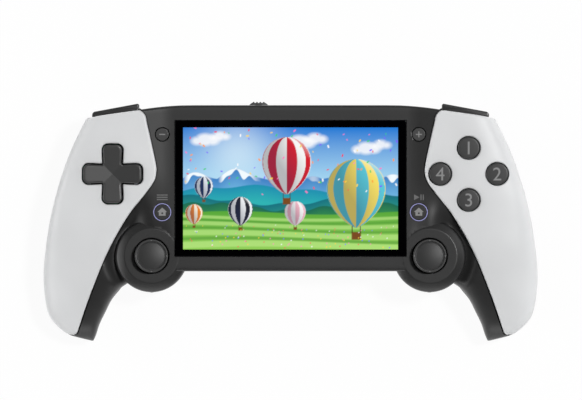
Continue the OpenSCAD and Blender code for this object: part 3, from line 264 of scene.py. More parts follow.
def edge_steps(edge, steps):
    """Distances from a rounded edge, close together at it."""
    return edge * (1 - np.cos(np.linspace(0, math.pi / 2, steps)))


def roll(edge, gap):
    """How far a rounded edge lies under its surface, by the distance from the edge."""
    short = np.clip(edge - gap, 0, edge)
    return edge - np.sqrt(np.maximum(0, edge ** 2 - short ** 2))


def split_at(h):
    """Line between the wing and the dark shell, with the wing's rounded corners."""
    h = np.asarray(h, float)
    arc = CORNER_X - np.sqrt(np.maximum(0, CORNER_R ** 2 - (h - CORNER_H) ** 2))
    foot = reach_in(SPLIT_LINE, h) + roll(FOOT_R, h - WING_LOW)
    return np.where(h < CORNER_H, foot, arc)


def wing_top(x):
    """Height above the tip of the wing's sloping upper edge."""
    return CORNER_H + CORNER_R - WING_FALL * np.maximum(0, x - CORNER_X)


def even_steps(points, count):
    """Points at even steps along a line of points."""
    points = np.asarray(points, float)
    run = np.concatenate([[0], np.cumsum(np.linalg.norm(np.diff(points, axis=0), axis=1))])
    where = np.linspace(0, run[-1], count)
    return np.column_stack([np.interp(where, run, points[:, i]) for i in range(points.shape[1])])


def half_section(half, depth, power, turns=720):
    """Rounded half section from one rim over the top to the other, flat side down."""
    turn = np.linspace(0, math.pi, turns)
    x = np.sign(np.cos(turn)) * np.abs(np.cos(turn)) ** (2 / power)
    return np.column_stack([half * x, depth * np.maximum(0, np.sin(turn)) ** (2 / power)])


def grip_rows(front, heights, inset=0.0, skirt=0.0, sink=False, columns=56):
    """Rings of points round a grip's front or rear half, moved inward by an inset."""
    thin = 0.02
    rows = []
    for h in heights:
        centre, half = middle_and_half(FRONT_INNER if front else REAR_INNER, h)
        level = part_level(h) - (0 if front else REAR_GAP)
        depth, power = front_shape(h, sink) if front else (level - along(BACK_LEVEL, h), BACK_FULLNESS)
        flat = half_section(max(thin, half - inset), max(thin, depth - inset), power)
        flat = even_steps(flat, columns)
        if skirt:
            flat = np.vstack([[flat[0][0], -skirt], flat, [flat[-1][0], -skirt]])
        x, z = centre + flat[:, 0], flat[:, 1] if front else -flat[:, 1]
        if sink:
            z = np.where(z > 0, z * valley(x, TIP_Y + h), z)
        rows.append(np.column_stack([x, np.full(len(x), TIP_Y + h), level + z]))
    return np.array(rows)


def grip_heights(top, rows=84, inset=0.0):
    """Heights of a grip's rows, close together at the tip."""
    tip = TIP_TALL * np.linspace(0, 1, 26, endpoint=False) ** 2 + 0.05
    heights = np.concatenate([tip, np.linspace(TIP_TALL, top, rows)])
    return heights[heights > 1.6 * inset]


def rounded(corners, steps=8):
    """Outline with rounded corners, from corners given as x, y and radius."""
    out = []
    for i, (x, y, r) in enumerate(corners):
        here = np.array([x, y], float)
        before = np.array(corners[i - 1][:2]) - here
        after = np.array(corners[(i + 1) % len(corners)][:2]) - here
        before, after = before / np.linalg.norm(before), after / np.linalg.norm(after)
        if r <= 0:
            out.append(here)
            continue
        half = math.acos(np.clip(before @ after, -1, 1)) / 2
        start, end = here + before * r / math.tan(half), here + after * r / math.tan(half)
        centre = here + (before + after) / np.linalg.norm(before + after) * r / math.sin(half)
        for t in np.linspace(0, 1, steps):
            arm = (start - centre) * (1 - t) + (end - centre) * t
            out.append(centre + arm / np.linalg.norm(arm) * r)
    return np.array(out)


def grown(outline, by):
    """A rounded outline, going round to the left, moved outward."""
    step = np.roll(outline, -1, axis=0) - np.roll(outline, 1, axis=0)
    out = np.column_stack([step[:, 1], -step[:, 0]])
    return outline + by * out / np.linalg.norm(out, axis=1)[:, None]


def rect(low, high):
    """Outline of a rectangle between two corners."""
    return [(low[0], low[1]), (high[0], low[1]), (high[0], high[1]), (low[0], high[1])]


def rounded_rect(low, high, radius, steps=8):
    """Outline of a rectangle with rounded corners."""
    return rounded([(*corner, radius) for corner in rect(low, high)], steps)


def round_over(edge, steps, top=0.0):
    """Steps inward and their levels along a rounded edge, from the wall up to the top."""
    return [(edge * (1 - math.cos(t)), top - edge * (1 - math.sin(t)))
            for t in np.linspace(0, math.pi / 2, steps)]


def stacked(outline, rings):
    """Rings of points: an outline moved inward and laid at a level, ring by ring."""
    return np.array([np.column_stack([grown(outline, -inward), np.full(len(outline), level)])
                     for inward, level in rings])


def mirrored(right):
    """Whole outline from its right half."""
    return right + [(-x, y) for x, y in right[::-1]]


def stick_at(side):
    """Middle of a stick in plan."""
    return STICK[:2] * (side, 1)


def fresh():
    """Leaves edit mode and deselects everything."""
    if bpy.context.mode != "OBJECT":
        bpy.ops.object.mode_set(mode="OBJECT")
    bpy.ops.object.select_all(action="DESELECT")


def focus(obj):
    """Makes an object the active and only selected one."""
    fresh()
    obj.select_set(True)
    bpy.context.view_layer.objects.active = obj


def named(name):
    """Names the object that an operator has just added."""
    obj = bpy.context.object
    obj.name = name
    obj.data.name = name
    return obj


def edit_all(obj):
    """Opens an object in edit mode with everything selected."""
    focus(obj)
    bpy.ops.object.mode_set(mode="EDIT")
    bpy.ops.mesh.select_all(action="SELECT")


def settle(obj):
    """Puts the place into the mesh and turns the faces outward."""
    focus(obj)
    bpy.ops.object.transform_apply(location=True, rotation=True, scale=True)
    edit_all(obj)
    bpy.ops.mesh.normals_make_consistent(inside=False)
    fresh()
    return obj


def put_points(obj, points):
    """Moves every vertex to its place in millimetres."""
    points = np.asarray(points, float).reshape(-1, 3) * MM
    if len(points) != len(obj.data.vertices):
        raise RuntimeError(f"{obj.name}: {len(points)} places for {len(obj.data.vertices)} vertices")
    obj.data.vertices.foreach_set("co", points.ravel())
    obj.data.update()


def grid(name, rows):
    """Open sheet over rows of points."""
    rows = np.asarray(rows)
    fresh()
    bpy.ops.mesh.primitive_grid_add(x_subdivisions=rows.shape[1] - 1, y_subdivisions=rows.shape[0] - 1)
    obj = named(name)
    put_points(obj, rows)
    return obj


def loft(name, rows, side=1):
    """Closed skin over rings of points, with flat ends."""
    rows = np.concatenate([rows, rows[:, :1]], axis=1) * (side, 1, 1)
    obj = grid(name, rows)
    edit_all(obj)
    bpy.ops.mesh.remove_doubles(threshold=1e-8)
    bpy.ops.mesh.select_all(action="DESELECT")
    bpy.ops.mesh.select_non_manifold()
    bpy.ops.mesh.fill_holes(sides=0)
    return settle(obj)


def prism(name, outline, low, high, axis=2, side=1):
    """Block with an outline, pushed out along an axis."""
    outline = np.asarray(outline, float)
    fresh()
    bpy.ops.mesh.primitive_circle_add(vertices=len(outline), fill_type="NGON")
    obj = named(name)
    put_points(obj, np.insert(outline, axis, low, axis=1) * (side, 1, 1))
    edit_all(obj)
    push = [0.0, 0.0, 0.0]
    push[axis] = (high - low) * MM * (side if axis == 0 else 1)
    bpy.ops.mesh.extrude_region_move(TRANSFORM_OT_translate={"value": push})
    return settle(obj)


def box(name, low, high):
    """Plain block between two corners."""
    return prism(name, rect(low, high), low[2], high[2])


def shoulder_point(x, y):
    """Place in plan from the shoulder's own axes, along the bumper and outward."""
    c, s = math.cos(SHOULDER_TURN), math.sin(SHOULDER_TURN)
    return SHOULDER[0] + c * x + s * y, SHOULDER[1] - s * x + c * y


def shoulder_box(name, low, high, side):
    """Block in the shoulder's own axes."""
    return prism(name, [shoulder_point(*p) for p in rect(low, high)], low[2], high[2], side=side)


def turned(name, centre, profile, sides=96):
    """Round upright piece; the profile gives radius and level, from foot to top."""
    radius, level = profile[0]
    fresh()
    bpy.ops.mesh.primitive_circle_add(vertices=sides, radius=radius * MM, fill_type="NGON",
                                      location=(centre[0] * MM, centre[1] * MM, level * MM))
    obj = named(name)
    bpy.ops.object.transform_apply(location=True, rotation=True, scale=True)
    edit_all(obj)
    for wide, high in profile[1:]:
        bpy.ops.mesh.extrude_region_move(
            TRANSFORM_OT_translate={"value": (0, 0, (high - level) * MM)})
        bpy.ops.transform.resize(value=(wide / radius, wide / radius, 1),
                                 center_override=(centre[0] * MM, centre[1] * MM, high * MM))
        radius, level = wide, high
    return settle(obj)


def modify(obj, kind, **settings):
    """Adds a modifier with its settings and applies it."""
    focus(obj)
    bpy.ops.object.modifier_add(type=kind)
    mod = obj.modifiers[-1]
    for key, value in settings.items():
        setattr(mod, key, value)
    bpy.ops.object.modifier_apply(modifier=mod.name)


def combine(obj, tool, operation):
    """Works another solid, which is used up, into an object."""
    modify(obj, "BOOLEAN", operation=operation, solver="MANIFOLD", object=tool)
    if len(obj.data.vertices) == 0:
        raise RuntimeError(f"{obj.name} is empty after {tool.name}")
    bpy.data.objects.remove(tool)
    return obj


def cut(obj, tool):
    """Takes another solid away from an object."""
    return combine(obj, tool, "DIFFERENCE")


def join(obj, tool):
    """Adds another solid to an object."""
    return combine(obj, tool, "UNION")


def smooth(obj, angle=35):
    """Shades smooth all but the edges sharper than an angle."""
    focus(obj)
    bpy.ops.object.shade_smooth_by_angle(angle=math.radians(angle))
    return obj


def softened(node, width):
    """Copy of a frame node with its edges rounded."""
    fresh()
    obj = bpy.data.objects.new(node + "_rounded", frame["nodes"][node].data.copy())
    bpy.context.collection.objects.link(obj)
    obj.data.name = obj.name
    edit_all(obj)
    bpy.ops.mesh.remove_doubles(threshold=1e-6)
    bpy.ops.mesh.dissolve_limited(angle_limit=math.radians(1))
    modify(obj, "BEVEL", width=width * MM, segments=4, limit_method="ANGLE",
           angle_limit=math.radians(40), use_clamp_overlap=True)
    return smooth(obj)


def finished(obj, body, slot, *nodes, finish=None):
    """Gives a piece its finish (the slot's, unless a finish is named), hangs it on its body and hides the
    frame nodes it stands for.
    """
    obj.data.materials.clear()
    obj.data.materials.append(finishes()[finish or slot])
    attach(obj, body)
    if nodes:
        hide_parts(*nodes)
    return obj


def linear(colour):
    """Linear colour of an sRGB hex value."""
    values = [int(colour[i:i + 2], 16) / 255 for i in (1, 3, 5)]
    return [v / 12.92 if v <= 0.04045 else ((v + 0.055) / 1.055) ** 2.4 for v in values]


def add(tree, kind, settings=None, links=None):
    """Adds a node; settings are for its sockets or itself, links come from other sockets."""
    made = tree.nodes.new(kind)
    for key, value in (settings or {}).items():
        if isinstance(key, int) or key in made.inputs.keys():
            made.inputs[key].default_value = value
        else:
            setattr(made, key, value)
    for key, source in (links or {}).items():
        tree.links.new(source, made.inputs[key])
    return made


def blank(name):
    """Empty material and its node tree."""
    mat = bpy.data.materials.get(name) or bpy.data.materials.new(name)
    mat.use_nodes = True
    mat.node_tree.nodes.clear()
    return mat, mat.node_tree


def shown(mat, shader):
    """Ends a material with the shader that is seen."""
    add(mat.node_tree, "ShaderNodeOutputMaterial", {}, {"Surface": shader.outputs[0]})
    return mat


def noise(tree, size, detail=2.0, roughness=0.5, drawn=1.0):
    """Noise with a grain of a size in millimetres, stretched along X by a drawn share below 1."""
    place = add(tree, "ShaderNodeTexCoord").outputs["Object"]
    laid = add(tree, "ShaderNodeMapping", {"Scale": (drawn, 1.0, 1.0)}, {"Vector": place})
    return add(tree, "ShaderNodeTexNoise", {"Scale": 1 / (size * MM), "Detail": detail,
               "Roughness": roughness}, {"Vector": laid.outputs["Vector"]}).outputs["Fac"]


def spread(tree, value, **ends):
    """Maps a value to another range; the ends are named by their sockets."""
    ends = {key.replace("_", " ").title(): end for key, end in ends.items()}
    return add(tree, "ShaderNodeMapRange", ends, {"Value": value}).outputs["Result"]


def toned(tree, colour, share, value):
    """A colour that varies with a value by a share of itself."""
    dark, light = ((*[min(1, c * (1 + way * share)) for c in colour[:3]], 1) for way in (-1, 1))
    return add(tree, "ShaderNodeMix", {"data_type": "RGBA", 6: dark, 7: light},
               {"Factor": value}).outputs[2]


def moulded(name, colour, roughness, grain, depth, specular=0.5, coat=0.0, metal=0.0, drawn=1.0,
            uneven_and_sheen=0.03):
    """Moulded plastic or rubber: a fine grain of a size in millimetres that breaks up the gloss.

    A drawn share below 1 stretches the grain into streaks along X, which then also carry the tone as
    painted streaks of reflection.
    """
    mat, tree = blank(name)
    colour = linear(colour) if isinstance(colour, str) else colour
    fine = noise(tree, grain, 3.0, 0.6, drawn)
    # Grain drawn into streaks makes the tone swing along them, as painted streaks of reflection in the
    # colour; otherwise the tone varies evenly at random.
    tone = spread(tree, noise(tree, 26) if drawn == 1 else fine, from_min=0.3, from_max=0.7)
    bump = add(tree, "ShaderNodeBump", {"Strength": 1.0, "Distance": depth * MM}, {"Height": fine})
    return shown(mat, add(tree, "ShaderNodeBsdfPrincipled", {
        "Specular IOR Level": specular, "IOR": 1.5, "Coat Weight": coat, "Coat Roughness": 0.12,
        "Metallic": metal}, {
        "Base Color": toned(tree, colour, uneven_and_sheen, tone), "Normal": bump.outputs["Normal"],
        "Roughness": spread(tree, fine, to_min=roughness - 0.05, to_max=roughness + 0.05)}))


def brushed(name, colour, roughness, line):
    """Stamped sheet steel: fine lines along X that stretch the highlight."""
    mat, tree = blank(name)
    lines = noise(tree, line, drawn=0.05)
    bump = add(tree, "ShaderNodeBump", {"Strength": 0.3, "Distance": 0.02 * MM}, {"Height": lines})
    return shown(mat, add(tree, "ShaderNodeBsdfPrincipled", {
        "Base Color": (*linear(colour), 1), "Metallic": 1.0}, {
        "Roughness": spread(tree, lines, to_min=roughness - 0.08, to_max=roughness + 0.12),
        "Normal": bump.outputs["Normal"]}))


def glowing(name, colour, strength):
    """Milky plastic that lets a lamp behind it through, a little uneven along its length."""
    mat, tree = blank(name)
    tone = toned(tree, colour, 0.1, noise(tree, 2.5))
    return shown(mat, add(tree, "ShaderNodeBsdfPrincipled", {
        "Roughness": 0.3, "Emission Strength": strength}, {"Base Color": tone, "Emission Color": tone}))


def lit(name):
    """Display that glows in the colours its mesh carries, dark and smooth where it is unlit."""
    mat, tree = blank(name)
    paint = add(tree, "ShaderNodeVertexColor", {"layer_name": "picture"})
    return shown(mat, add(tree, "ShaderNodeBsdfPrincipled", {
        "Base Color": (0.002, 0.002, 0.002, 1), "Roughness": 0.08, "Specular IOR Level": 0.3,
        "Emission Strength": 1.0}, {"Emission Color": paint.outputs["Color"]}))


FINISHES = {}


def finishes():
    """All materials by the slot or the use they are for, made on first use."""
    if FINISHES:
        return FINISHES
    c = bpy.context.scene.console_colours
    FINISHES.update({
        # Satin ABS from a spark-eroded mould: a fine even grain, dark grey, with a soft sheen.
        "dark_shell": moulded("satin_dark_abs", c.dark, 0.36, 0.55, 0.006, 0.42),
        # The same ABS, a shade lighter. Its grain and gloss are drawn into streaks, and its colour swings
        # lighter and darker along them as painted streaks of reflection.
        "bumper_plastic": moulded("dark_abs_with_painted_streaks", c.bumper, 0.3, 0.9, 0.04, drawn=0.06, uneven_and_sheen=0.5),
        # White ABS under a satin lacquer: almost no grain, a broad gentle gloss.
        "white_wing": moulded("lacquered_white_abs", c.wing, 0.44, 0.8, 0.003, 0.4),
        # Toughened cover glass with a black printed back: mirror smooth and black.
        "lens": moulded("black_cover_glass", "#010102", 0.06, 4.0, 0.0002, 0.35),
        # Die-cut foam tape, dull black with open pores.
        "tape": moulded("foam_tape", "#141414", 0.85, 0.4, 0.05, 0.2),
        # The display's polariser: dark and smooth.
        "display": moulded("display_film", "#22262b", 0.12, 6.0, 0.0005),
        # Stamped spring steel with rolling lines.
        "sheet_steel": brushed("stamped_steel", "#aab0b4", 0.32, 0.3),
        # Copper ribbon under amber polyimide film.
        "ribbon": moulded("amber_polyimide", "#b5792f", 0.3, 1.2, 0.004, coat=0.3),
        # Green solder mask over glass weave.
        "board": moulded("green_solder_mask", "#1f4a35", 0.38, 0.9, 0.01),
        # Crinkled laminated foil of a flat cell.
        "battery_foil": moulded("laminated_foil", "#5b6673", 0.35, 3.0, 0.08, metal=0.6),
        # Glass-filled nylon, dull and a little fibrous.
        "black_plastic": moulded("glass_filled_nylon", "#1d1d1e", 0.55, 0.35, 0.02, 0.35),
        # Nickel plate on the switches and zinc on the screws: bright, with short highlights.
        "switch_steel": brushed("plated_switch_steel", "#b9bbbb", 0.25, 0.25),
        "screw_steel": brushed("zinc_plated_steel", "#a6a9ad", 0.22, 0.2),
        # Keypad silicone, milky grey and matt.
        "silicone": moulded("keypad_silicone", "#8b9096", 0.7, 0.5, 0.01, 0.3),
        # Matt ABS caps, a little lighter than the shell.
        "button_plastic": moulded("matt_cap_abs", c.button, 0.36, 0.45, 0.005),
        # Milky light guide with a violet tint that glows a little.
        "light_ring": glowing("violet_light_guide", c.ring, 0.35),
        # Moulded silicone rubber over the stick: matt, dense dark grey.
        "stick_rubber": moulded("stick_silicone_rubber", c.stick, 0.49, 0.4, 0.008, 0.44),
        # Acetal of the stick's works, waxy and smooth.
        "stick_inner": moulded("acetal_grey", "#969899", 0.4, 0.8, 0.006, 0.45),
        "stick_shaft": moulded("acetal_black", "#242425", 0.36, 0.8, 0.006, 0.45),
        # Pad-printed ink: matt, with a slightly broken film.
        "print_ink": moulded("grey_print_ink", c.ink, 0.6, 0.3, 0.006, 0.2),
        "faint_ink": moulded("faint_grey_print_ink", c.faint_ink, 0.6, 0.3, 0.006, 0.2),
        # The lit pixels.
        "lit_picture": lit("lit_display"),
    })
    return FINISHES


def length(name, text, default):
    """Size that a user would change, in millimetres."""
    return bpy.props.FloatProperty(name=name, description=text, default=default * MM, min=0.0,
                                   unit="LENGTH", precision=5)


def colour(name, text, default):
    """Colour that a user would change, as a hex value."""
    return bpy.props.FloatVectorProperty(name=name, description=text, default=linear(default),
                                         size=3, min=0.0, max=1.0, subtype="COLOR")


class ConsoleSizes(bpy.types.PropertyGroup):
    """Sizes of the pieces that the scene adds."""
    wing_wall: length("Wing wall", "Thickness of a white wing", 2.0)
    wing_edge: length("Wing edge", "Radius of a wing's rounded edges", 1.0)
    body_edge: length("Body edge", "Radius along the body's front edges", 1.2)
    hole_edge: length("Hole edge", "Radius round the holes in the wings", 0.6)
    cap_edge: length("Cap edge", "Radius round a button's top", 0.55)
    sign_height: length("Sign height", "Height of a numeral on a button", 5.8)
    print_step: length("Print step", "How far a printed sign stands off its surface", 0.02)


class ConsoleColours(bpy.types.PropertyGroup):
    """Colours of the finishes."""
    dark: colour("Dark shell", "Satin plastic of the body", "#232323")
    bumper: colour("Bumper", "Polished plastic of bumpers and triggers", "#2c2c2c")
    wing: colour("Wing", "Lacquered plastic of the wings", "#d0d1d2")
    button: colour("Button", "Plastic of the caps", "#303030")
    stick: colour("Stick", "Rubber of the stick caps", "#262626")
    ring: colour("Ring", "Light guide round the home buttons", "#9292c2")
    ink: colour("Ink", "Signs on the buttons", "#848484")
    faint_ink: colour("Faint ink", "Signs on the shell", "#666666")


# Places of the round buttons from the middle of their cluster, radii of the openings in the front,
# and the notch for a bumper's end in the shoulder's own axes.
FACE_STEPS = {"top": (0, 11.5), "right": (12.6, 0), "bottom": (0, -11.5), "left": (-12.6, 0)}
BUTTON_HOLE, STICK_HOLE, MENU_HOLE, HOME_HOLE = 5.2, 7.9, 3.25, 4.0
BUMPER_NOTCH = (15.5, -2.3, 20.0), (22.4, FAR, 28.6)


class CONSOLE_OT_wings(bpy.types.Operator):
    """Makes the two white wings with their holes"""
    bl_idname = "console.wings"
    bl_label = "Wings"

    def execute(self, context):
        sizes = context.scene.console_sizes
        outlines = {"left": [pad_outline(0.5) + CLUSTER[:2]],
                    "right": [circle(CLUSTER[:2] + step, BUTTON_HOLE) for step in FACE_STEPS.values()]}
        for name, side in SIDES.items():
            obj = grid(f"{name}_wing_skin", wing_sheet(sizes.wing_edge / MM) * (side, 1, 1))
            edit_all(obj)
            bpy.ops.mesh.normals_make_consistent(inside=False)
            fresh()
            if obj.data.polygons[len(obj.data.polygons) // 2].normal.z < 0:
                edit_all(obj)
                bpy.ops.mesh.flip_normals()
            modify(obj, "SOLIDIFY", thickness=sizes.wing_wall, offset=-1)
            for outline in outlines[name]:
                cut(obj, hole("wing_hole", outline, sizes.hole_edge / MM, side))
            cut(obj, shoulder_box("bumper_notch", *BUMPER_NOTCH, side))
            finished(smooth(obj, 40), "console", "white_wing", f"{name}_wing")
        return {"FINISHED"}


def wing_sheet(edge):
    """Rows of points over the right wing's outer surface, rolled down along its cut edges."""
    near = edge_steps(edge, 6)
    top = wing_top(0) - SEAM
    heights = np.concatenate([
        WING_LOW + near[:-1], np.linspace(WING_LOW + edge, TIP_TALL, 30)[:-1],
        np.linspace(TIP_TALL, CORNER_H, 90)[:-1],
        CORNER_H + (CORNER_R - SEAM) * np.sin(np.linspace(0, math.pi / 2, 18))])
    heights = np.sort(np.concatenate([heights[heights < top - edge], top - near]))
    levels = np.linspace(WING_LOW, top, 700)
    columns = 64
    xs, zs, runs = [], [], []
    for h in levels:
        centre, half = middle_and_half(FRONT_INNER, h)
        flat = half_section(half, GRIP_FRONT - along(FRONT_DEPTH, h), along(FULLNESS, h), 2400)
        x, z = centre + flat[:, 0], part_level(h) + flat[:, 1]
        stop = float(split_at(h)) + SEAM
        kept = x > stop
        x, z = np.append(x[kept], stop), np.append(z[kept], np.interp(stop, x[::-1], z[::-1]))
        run = np.concatenate([[0], np.cumsum(np.hypot(np.diff(x), np.diff(z)))])
        rolled = min(edge, run[-1] / 4)
        where = np.concatenate([np.linspace(0, run[-1] - rolled, columns),
                                run[-1] - near[-2::-1] * rolled / edge])
        xs.append(np.interp(where, run, x))
        zs.append(np.interp(where, run, z))
        runs.append(run[-1] - where)
    xs, zs, runs = np.array(xs), np.array(zs), np.array(runs)
    rows = np.zeros((len(heights), xs.shape[1], 3))
    gap = np.zeros(rows.shape[:2])
    for j in range(xs.shape[1]):
        h = heights.copy()
        for _ in range(8):
            x = np.interp(h, levels, xs[:, j])
            h = WING_LOW + (heights - WING_LOW) * (wing_top(x) - SEAM - WING_LOW) / (top - WING_LOW)
        rows[:, j] = np.column_stack([np.interp(h, levels, xs[:, j]), TIP_Y + h,
                                      np.interp(h, levels, zs[:, j])])
        gap[:, j] = np.minimum(np.interp(h, levels, runs[:, j]),
                               np.minimum(heights - WING_LOW, top - heights))
    across, up = np.gradient(rows, axis=1), np.gradient(rows, axis=0)
    normal = np.cross(up, across)
    normal /= np.maximum(1e-9, np.linalg.norm(normal, axis=2))[:, :, None]
    normal *= np.sign(normal[:, :, 2:3].mean())
    return rows - normal * roll(edge, gap)[:, :, None]


def circle(centre, radius, sides=96):
    """Round outline in plan."""
    turn = np.linspace(0, 2 * math.pi, sides, endpoint=False)
    return np.column_stack([np.cos(turn), np.sin(turn)]) * radius + np.asarray(centre)


# Lifts a hole's mouth through the surface, so that the cut is clean.
CLEAR_CUT = 0.012
MOUTH = 3.0


def hole(name, outline, edge, side, surface=grip_level, deep=8.0):
    """Cutter whose mouth flares along a surface, so the hole has a rounded edge."""
    rows = []
    for out, lift in [(0, -deep), *round_over(edge, 6), (edge, MOUTH)]:
        ring = grown(outline, out)
        rows.append(np.column_stack([ring, surface(ring[:, 0], ring[:, 1]) + lift + CLEAR_CUT]))
    return loft(name, np.array(rows), side)


PAD_REACH, PAD_ROOT, PAD_TIP = 13.0, 4.05, 4.45
QUARTERS = ((1, 0), (0, 1), (-1, 0), (0, -1))


def pad_outline(grow):
    """The cross of the direction pad, its arms a little wider at their ends."""
    arm = ((PAD_ROOT, -PAD_ROOT, 0.9), (PAD_REACH, -PAD_TIP, 2.4), (PAD_REACH, PAD_TIP, 2.4))
    corners = [(c * x - s * y, s * x + c * y, r) for c, s in QUARTERS for x, y, r in arm]
    return grown(rounded(corners, 10), grow)


# The boss from its foot to its flat top: distance out from the top's edge, and drop.
BOSS_FLANK = ((3.92, 3.6), (3.7, 2.8), (3.4, 2.25), (3.1, 1.9), (2.6, 1.52), (2.1, 1.18), (1.5, 0.81),
              (0.9, 0.47), (0.4, 0.215), (0.12, 0.07), (-0.02, 0.015), (-0.15, 0), (-0.5, 0), (-0.9, 0),
              (-3.2, 0), (-3.6, 0))
BOSS_WALL = FRONT_Z - 5  # top of its upright wall
# Ledge under a bumper's inner end, in the shoulder's own axes, and its levels.
LIP = ((-1.6, -3.6), (1.5, -3.6), (1.5, -0.2), (0.5, -0.2), (-0.5, -1.05), (-1.6, -1.15))
LIP_LEVELS = 17.6, 20.0
# Half sizes of the window behind the lens, corners of the port and the card slot, and the jack.
WINDOW = (48.5, 28)
PORT = (-4.7, 18.8), (4.7, 22.4)
CARD_HALF, CARD_LEVELS = 6.3, (20.2, 22.0)
JACK, JACK_R = (24, 19.6), 3.1
LENS_ROOM = 0.15
CUT_PAST = 3.0


class CONSOLE_OT_front_shell(bpy.types.Operator):
    """Makes the dark front shell with its bosses and grip strips"""
    bl_idname = "console.front_shell"
    bl_label = "Front shell"

    def execute(self, context):
        obj = front_block("front_shell_skin", 0, context.scene.console_sizes.body_edge / MM)
        profile = [(BOSS_R, PART_Z), (BOSS_R, BOSS_WALL)]
        profile += [(BOSS_TOP_R + out, FRONT_Z - drop) for out, drop in BOSS_FLANK]
        for side in SIDES.values():
            join(obj, turned("boss", stick_at(side), profile, 128))
        room, inner = BOSS_R + 0.2, BOSS_R - WALL
        for side in SIDES.values():
            strip = loft("grip_strip", grip_rows(True, grip_heights(DARK_TOP), sink=True), side)
            cut(strip, turned("boss_room", stick_at(side), [(room, BACK_Z), (room, PART_Z)], 128))
            join(obj, strip)
        combine(obj, prism("dark_region", dark_region(), -5, FRONT_Z + 10), "INTERSECT")
        cut(obj, front_block("front_hollow", WALL, 0.2))
        profile = [(inner, BACK_Z), (inner, BOSS_WALL - WALL), (BOSS_TOP_R - WALL, FRONT_Z - WALL)]
        for side in SIDES.values():
            cut(obj, turned("boss_hollow", stick_at(side), profile, 64))
            rows = grip_rows(True, grip_heights(DARK_TOP, 40, WALL), WALL, 1.0, True, 32)
            cut(obj, loft("strip_hollow", rows, side))
            join(obj, prism("lip", [shoulder_point(*point) for point in LIP], *LIP_LEVELS, side=side))
        self.cut_openings(obj)
        finished(smooth(obj, 32), "console", "dark_shell", "front_shell")
        return {"FINISHED"}

    def cut_openings(self, obj):
        """Cuts the lens pocket, the window and the openings for controls, ports and slider."""
        low, high, above = LENS_LOW - LENS_ROOM, LENS_HIGH + LENS_ROOM, FRONT_Z + 5
        cut(obj, box("lens_pocket", (low[0], low[1], low[2] - 0.1), (high[0], high[1], above)))
        cut(obj, box("window", (-WINDOW[0], SCREEN_Y - WINDOW[1], 20),
                     (WINDOW[0], SCREEN_Y + WINDOW[1], above)))
        for side in SIDES.values():
            cut(obj, hole("stick_opening", circle(STICK[:2], STICK_HOLE), 0.3, side,
                          lambda x, y: np.full(np.shape(x), FRONT_Z), 12))
            for place, radius in ((MENU, MENU_HOLE), (HOME, HOME_HOLE)):
                cut(obj, hole("opening", circle(place[:2], radius), 0.06, side, face_level, 12))
        low, high = node_box("power_slider")
        near, past = BODY_TOP - CUT_PAST, BODY_TOP + CUT_PAST
        cut(obj, prism("port", rounded_rect(*PORT, 1.6), near, past, 1))
        cut(obj, prism("jack", circle(JACK, JACK_R, 48), near, past, 1))
        cut(obj, box("slide", (low[0] + 2, near, low[2] + 1), (high[0], past, high[2] - 1)))
        cut(obj, box("card", (-CARD_HALF, BODY_BOTTOM - CUT_PAST, CARD_LEVELS[0]),
                     (CARD_HALF, BODY_BOTTOM + CUT_PAST, CARD_LEVELS[1])))


def dark_region():
    """Plan of everything in front that isn't a wing."""
    heights = np.concatenate([np.linspace(WING_LOW, CORNER_H, 120),
                              CORNER_H + CORNER_R * np.sin(np.linspace(0.1, 1.35, 10))])
    right = [(FAR, TIP_Y - 5), (FAR, TIP_Y + WING_LOW - SEAM)]
    right += [(float(split_at(h)), TIP_Y + h) for h in heights]
    return mirrored(right + [(SHOULDER_EDGE, TIP_Y + float(wing_top(SHOULDER_EDGE))),
                             (SHOULDER_EDGE, BODY_TOP + 5)])


def bend(x):
    """How far the body's upper edge bends down towards the wings."""
    share = (np.abs(x) - STRAIGHT_HALF) / (SHOULDER_EDGE - STRAIGHT_HALF)
    return BEND * np.clip(share, 0, 1.5) ** BEND_POWER


def body_plan(inset):
    """Outline of the middle body, its upper edge bending down towards the wings."""
    edge = SHOULDER_EDGE - inset
    upper = [(x, BODY_TOP - inset - float(bend(x))) for x in np.linspace(edge, STRAIGHT_HALF, 24)]
    return mirrored([(X_SIDE - inset, BODY_BOTTOM + inset), (X_SIDE - inset, SIDE_TOP),
                     (edge, SHOULDER_LOW)] + upper)


def front_block(name, inset, edge):
    """The middle body's front half: its curved face, rolled down along its upper and lower edge."""
    low = PART_Z - (1 if inset else 0)
    top, bottom = BODY_TOP - inset, BODY_BOTTOM + inset
    near = edge_steps(edge, 8)
    y = np.concatenate([bottom + near, np.linspace(bottom + edge, top - edge, 50)[1:-1],
                        top - near[::-1]])
    half = np.concatenate([np.linspace(X_SIDE, RISE_FROM, 36),
                           np.linspace(RISE_FROM, FLAT_HALF, 10)[1:],
                           np.linspace(FLAT_HALF, 0, 9)[1:]])
    x, y = np.meshgrid(np.concatenate([half, -half[-2::-1]]), y)
    place = y - bend(x) * eased(y, BEND_ROWS)
    level = dark_level(x, place) - inset - roll(edge, np.minimum(y - bottom, top - y))
    upper = np.dstack([x, place, level]).transpose(1, 0, 2)
    lower = np.dstack([x, place, np.full(x.shape, low)]).transpose(1, 0, 2)[:, ::-1]
    obj = loft(name, np.concatenate([upper, lower], axis=1))
    plan = mirrored([(X_SIDE - inset, BODY_BOTTOM - 1), (X_SIDE - inset, SIDE_TOP),
                     (SHOULDER_EDGE - inset, SHOULDER_LOW), (SHOULDER_EDGE - inset, BODY_TOP + 1)])
    return combine(obj, prism(name + "_plan", plan, low - 1, 2 * FRONT_Z), "INTERSECT")


